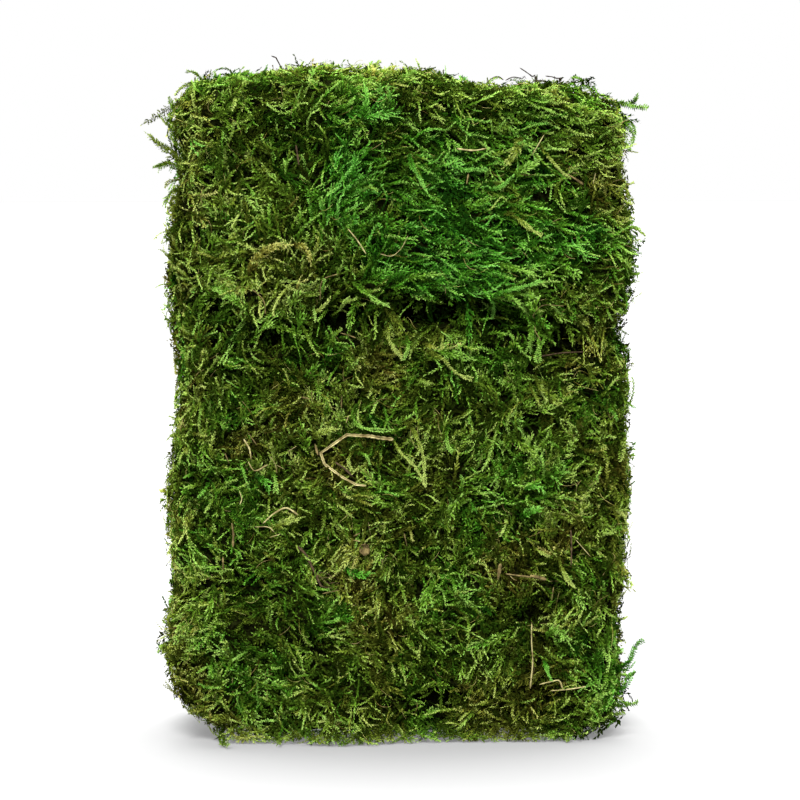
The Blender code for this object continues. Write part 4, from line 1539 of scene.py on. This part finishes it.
CREASED = np.array([(-1, 0.1), (-0.3, -0.25), (0.2, -0.3), (1, 0.05), (0.5, -0.55), (-0.5, -0.55)])
ROUND = np.array([(-1, 0), (-0.5, 0.75), (0.5, 0.75), (1, 0), (0.5, -0.75), (-0.5, -0.75)])
CREASE_SIDE = 1
STRAW_LIFT = 0.9 * MM
STRAW_STEP = 2
STRAW_WINDOW = 5
LEAST_STEP = 0.3
STRAW_UP = (0.0, -1.0, 0.15)
STRAW_UNEVEN = (0.7, 1.15)
STRAW_END = 0.4


def straight_line(knots, along, stations):
    """Points on the straight pieces between the knots."""
    return np.stack([np.interp(stations, along, knots[:, k]) for k in range(2)], axis=1)


def curved_line(knots, along, stations):
    """A smooth line through the knots: cubic pieces that share their slopes."""
    slopes = np.gradient(knots, along, axis=0)
    piece = np.clip(np.searchsorted(along, stations, side="right") - 1, 0, len(along) - 2)
    span = (along[piece + 1] - along[piece])[:, None]
    t = (stations - along[piece])[:, None] / span
    start, end = knots[piece], knots[piece + 1]
    pull = slopes[piece] * span
    push = slopes[piece + 1] * span
    return (
        start * (2 * t ** 3 - 3 * t ** 2 + 1) + pull * (t ** 3 - 2 * t ** 2 + t)
        + end * (3 * t ** 2 - 2 * t ** 3) + push * (t ** 3 - t ** 2)
    )


def straw_path(surface, pixels, curved=True, level=None):
    """Points along a straw behind the given pixels: over the fronds, or at one level of depth."""
    _, _, _, ahead = camera_axes()
    pixels = np.array(pixels, dtype=float)
    along = np.concatenate([[0], np.linalg.norm(np.diff(pixels, axis=0), axis=1)]).cumsum()
    extra = np.linspace(0, along[-1], max(3, round(along[-1] / STRAW_STEP)))
    stations = np.union1d(along, extra)
    stations = stations[np.concatenate([[True], np.diff(stations) > LEAST_STEP])]
    line = curved_line if curved else straight_line
    rows = line(pixels, along, stations)
    places = np.array([surface.behind_pixel(*row)[0] for row in rows])
    if level is None:
        ends = np.pad(np.minimum(places[:, 1], LEAST_FRONT), STRAW_WINDOW // 2, mode="edge")
        near = np.lib.stride_tricks.sliding_window_view(ends, STRAW_WINDOW)
        depth = near.min(axis=1) - STRAW_LIFT
    else:
        depth = np.full(len(places), level)
    return places + np.array(ahead) * ((depth - places[:, 1]) / ahead.y)[:, None]


def straw_form(points, start, end, section, draw):
    """A closed strip of the given section along a path: vertices, and faces with their side."""
    count = len(points)
    sides_in_section = len(section)
    heading = unit(np.gradient(points, axis=0))
    up = unit(np.array(STRAW_UP) - heading * (heading @ STRAW_UP)[:, None])
    side = np.cross(up, heading)
    half = np.linspace(start, end, count) * MM * draw.uniform(*STRAW_UNEVEN, count)
    half[[0, -1]] *= STRAW_END
    rings = points[:, None] + half[:, None, None] * (
        side[:, None] * section[None, :, :1] + up[:, None] * section[None, :, 1:]
    )
    faces = []
    for k in range(count - 1):
        for s in range(sides_in_section):
            after = (s + 1) % sides_in_section
            low = k * sides_in_section
            high = low + sides_in_section
            faces.append(((low + s, low + after, high + after, high + s), s))
    faces.append((tuple(range(sides_in_section))[::-1], -1))
    faces.append((tuple(range((count - 1) * sides_in_section, count * sides_in_section)), -1))
    return rings.reshape(-1, 3), faces


def add_straw(name, forms, materials, node=None):
    """One piece of one or more strips. A second, darker material is that of the crease, as painted
    shade in the fold.
    """
    verts = []
    faces = []
    crease = []
    for points, quads in forms:
        faces += [tuple(index + len(verts) for index in quad) for quad, _ in quads]
        crease += [side == CREASE_SIDE for _, side in quads]
        verts += points.tolist()
    mesh = bpy.data.meshes.new(name)
    mesh.from_pydata(verts, [], faces)
    for material in materials:
        mesh.materials.append(material)
    if len(materials) > 1:
        mesh.polygons.foreach_set("material_index", np.array(crease, dtype=np.int32))
    mesh.validate()
    add_piece(name, mesh, node)


STRAW_SEED = 21
LOOSE_SLOTS = {"straw": "dry_straw", "scrap": "dry_straw", "twig": "brown_twig"}


def add_packed_straws(surface, materials, draw):
    """Straws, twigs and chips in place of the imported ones."""
    for node, look, start, end, pixels in STRAWS:
        creased = look == "crease"
        points = straw_path(surface, pixels, curved=not creased)
        form = straw_form(points, start, end, CREASED if creased else ROUND, draw)
        # Painted shade: the crease of the bent straw takes the darker scrap material.
        used = [materials["straw"], materials["scrap"]] if creased else [materials[look]]
        add_straw(node + "_form", [form], used, node)


def add_loose_straws(surface, materials, draw):
    """Small straws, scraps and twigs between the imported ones, one piece for each material."""
    for look, slot in LOOSE_SLOTS.items():
        rows = [row[1:] for row in LOOSE if row[0] == look]
        forms = []
        for start, end, pixels in rows:
            path = straw_path(surface, pixels)
            forms.append(straw_form(path, LOOSE_WIDTH * start, LOOSE_WIDTH * end, ROUND, draw))
        add_straw("loose_" + look, forms, [materials[look]])


def add_edge_twigs(surface, bark, draw):
    """Dark twigs on the outline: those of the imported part, and loose ones as one piece."""
    loose = []
    for node, start, end, pixels in EDGE_TWIGS:
        path = straw_path(surface, pixels, level=EDGE_DEPTH)
        form = straw_form(path, start, end, ROUND, draw)
        if node:
            add_straw(node + "_form", [form], [bark], node)
        else:
            loose.append(form)
    add_straw("loose_edge_twig", loose, [bark])


# Curled leaf: half sizes in millimetres, its open rim and its dents
HUSK_PIXEL = (364.5, 548.7)
HUSK_ACROSS = 1.9
HUSK_DEEP = 1.5
HUSK_HIGH = 2.1
HUSK_LIFT = 2.3 * MM
HUSK_RIM = -0.25
HUSK_RAGGED = 0.35
HUSK_RAGS = 2.5
HUSK_DENT = 0.22
HUSK_DENTS = 3
HUSK_SEGMENTS = 28
HUSK_RINGS = 18


def in_mouth(co):
    """True for places in front of the ragged rim of the cup."""
    return co.y < HUSK_RIM - HUSK_RAGGED * noise.noise(co * HUSK_RAGS)


def add_husk(surface, material):
    """A curled dead leaf: a ragged cup that opens to the front."""
    form = bmesh.new()
    bmesh.ops.create_uvsphere(form, u_segments=HUSK_SEGMENTS, v_segments=HUSK_RINGS, radius=1)
    mouth = [vert for vert in form.verts if in_mouth(vert.co)]
    bmesh.ops.delete(form, geom=mouth, context="VERTS")
    place, _ = surface.behind_pixel(*HUSK_PIXEL)
    for vert in form.verts:
        swell = 1 + HUSK_DENT * noise.noise(vert.co * HUSK_DENTS)
        x, y, z = vert.co
        vert.co = Vector((x * HUSK_ACROSS, y * HUSK_DEEP, z * HUSK_HIGH)) * swell * MM
        vert.co += Vector(place) - Vector((0, HUSK_LIFT, 0))
    mesh = bpy.data.meshes.new("husk_form")
    form.to_mesh(mesh)
    form.free()
    mesh.materials.append(material)
    add_piece("husk_form", mesh, "curled_husk")


def dress_trim(surface):
    """Dry and dark materials and forms for the straws, twigs and chips."""
    materials = {
        "straw": rough_material("straw_dry"),
        "scrap": rough_material("wood_scrap"),
        "twig": rough_material("twig_bark"),
        "bark": rough_material("dark_bark"),
    }
    draw = rng(STRAW_SEED)
    add_packed_straws(surface, materials, draw)
    add_loose_straws(surface, materials, draw)
    add_edge_twigs(surface, materials["bark"], draw)
    add_husk(surface, materials["scrap"])


def build():
    """The stage, the beds, the fronds on all sides, the single forms and the straws."""
    add_camera()
    add_floor()
    add_world()
    for sun in SUNS:
        add_sun(*sun)
    bpy.context.scene.view_settings.view_transform = "Standard"
    surface = Surface(SHEETS)
    forms = make_forms()
    leaf = palette_material()
    # Near-black bed: painted shade in the gaps between the fronds.
    bed = rough_material("painted_shade_bed")
    for sheet, slot in zip(SHEETS, ("green_moss", "olive_moss", "deep_moss")):
        add_bed(sheet, bed)
    for number, region in enumerate(REGIONS):
        parts = dress_region(surface, region, number + 1, forms)
        pack_pieces(region + "_fronds", parts, leaf)
    singles = [
        ("edge_sprigs", sprig_entries(), 11),
        ("ledge_fringe", fringe_entries(surface, 12), 13),
        ("slot_fringe", slot_entries(surface, 17), 18),
        ("foot_fringe", foot_entries(surface, 15), 16),
        ("standing_out", feature_entries(surface), 14),
    ]
    for name, entries, seed in singles:
        pack_pieces(name, lay_single(entries, seed), leaf)
    dress_trim(surface)


build()
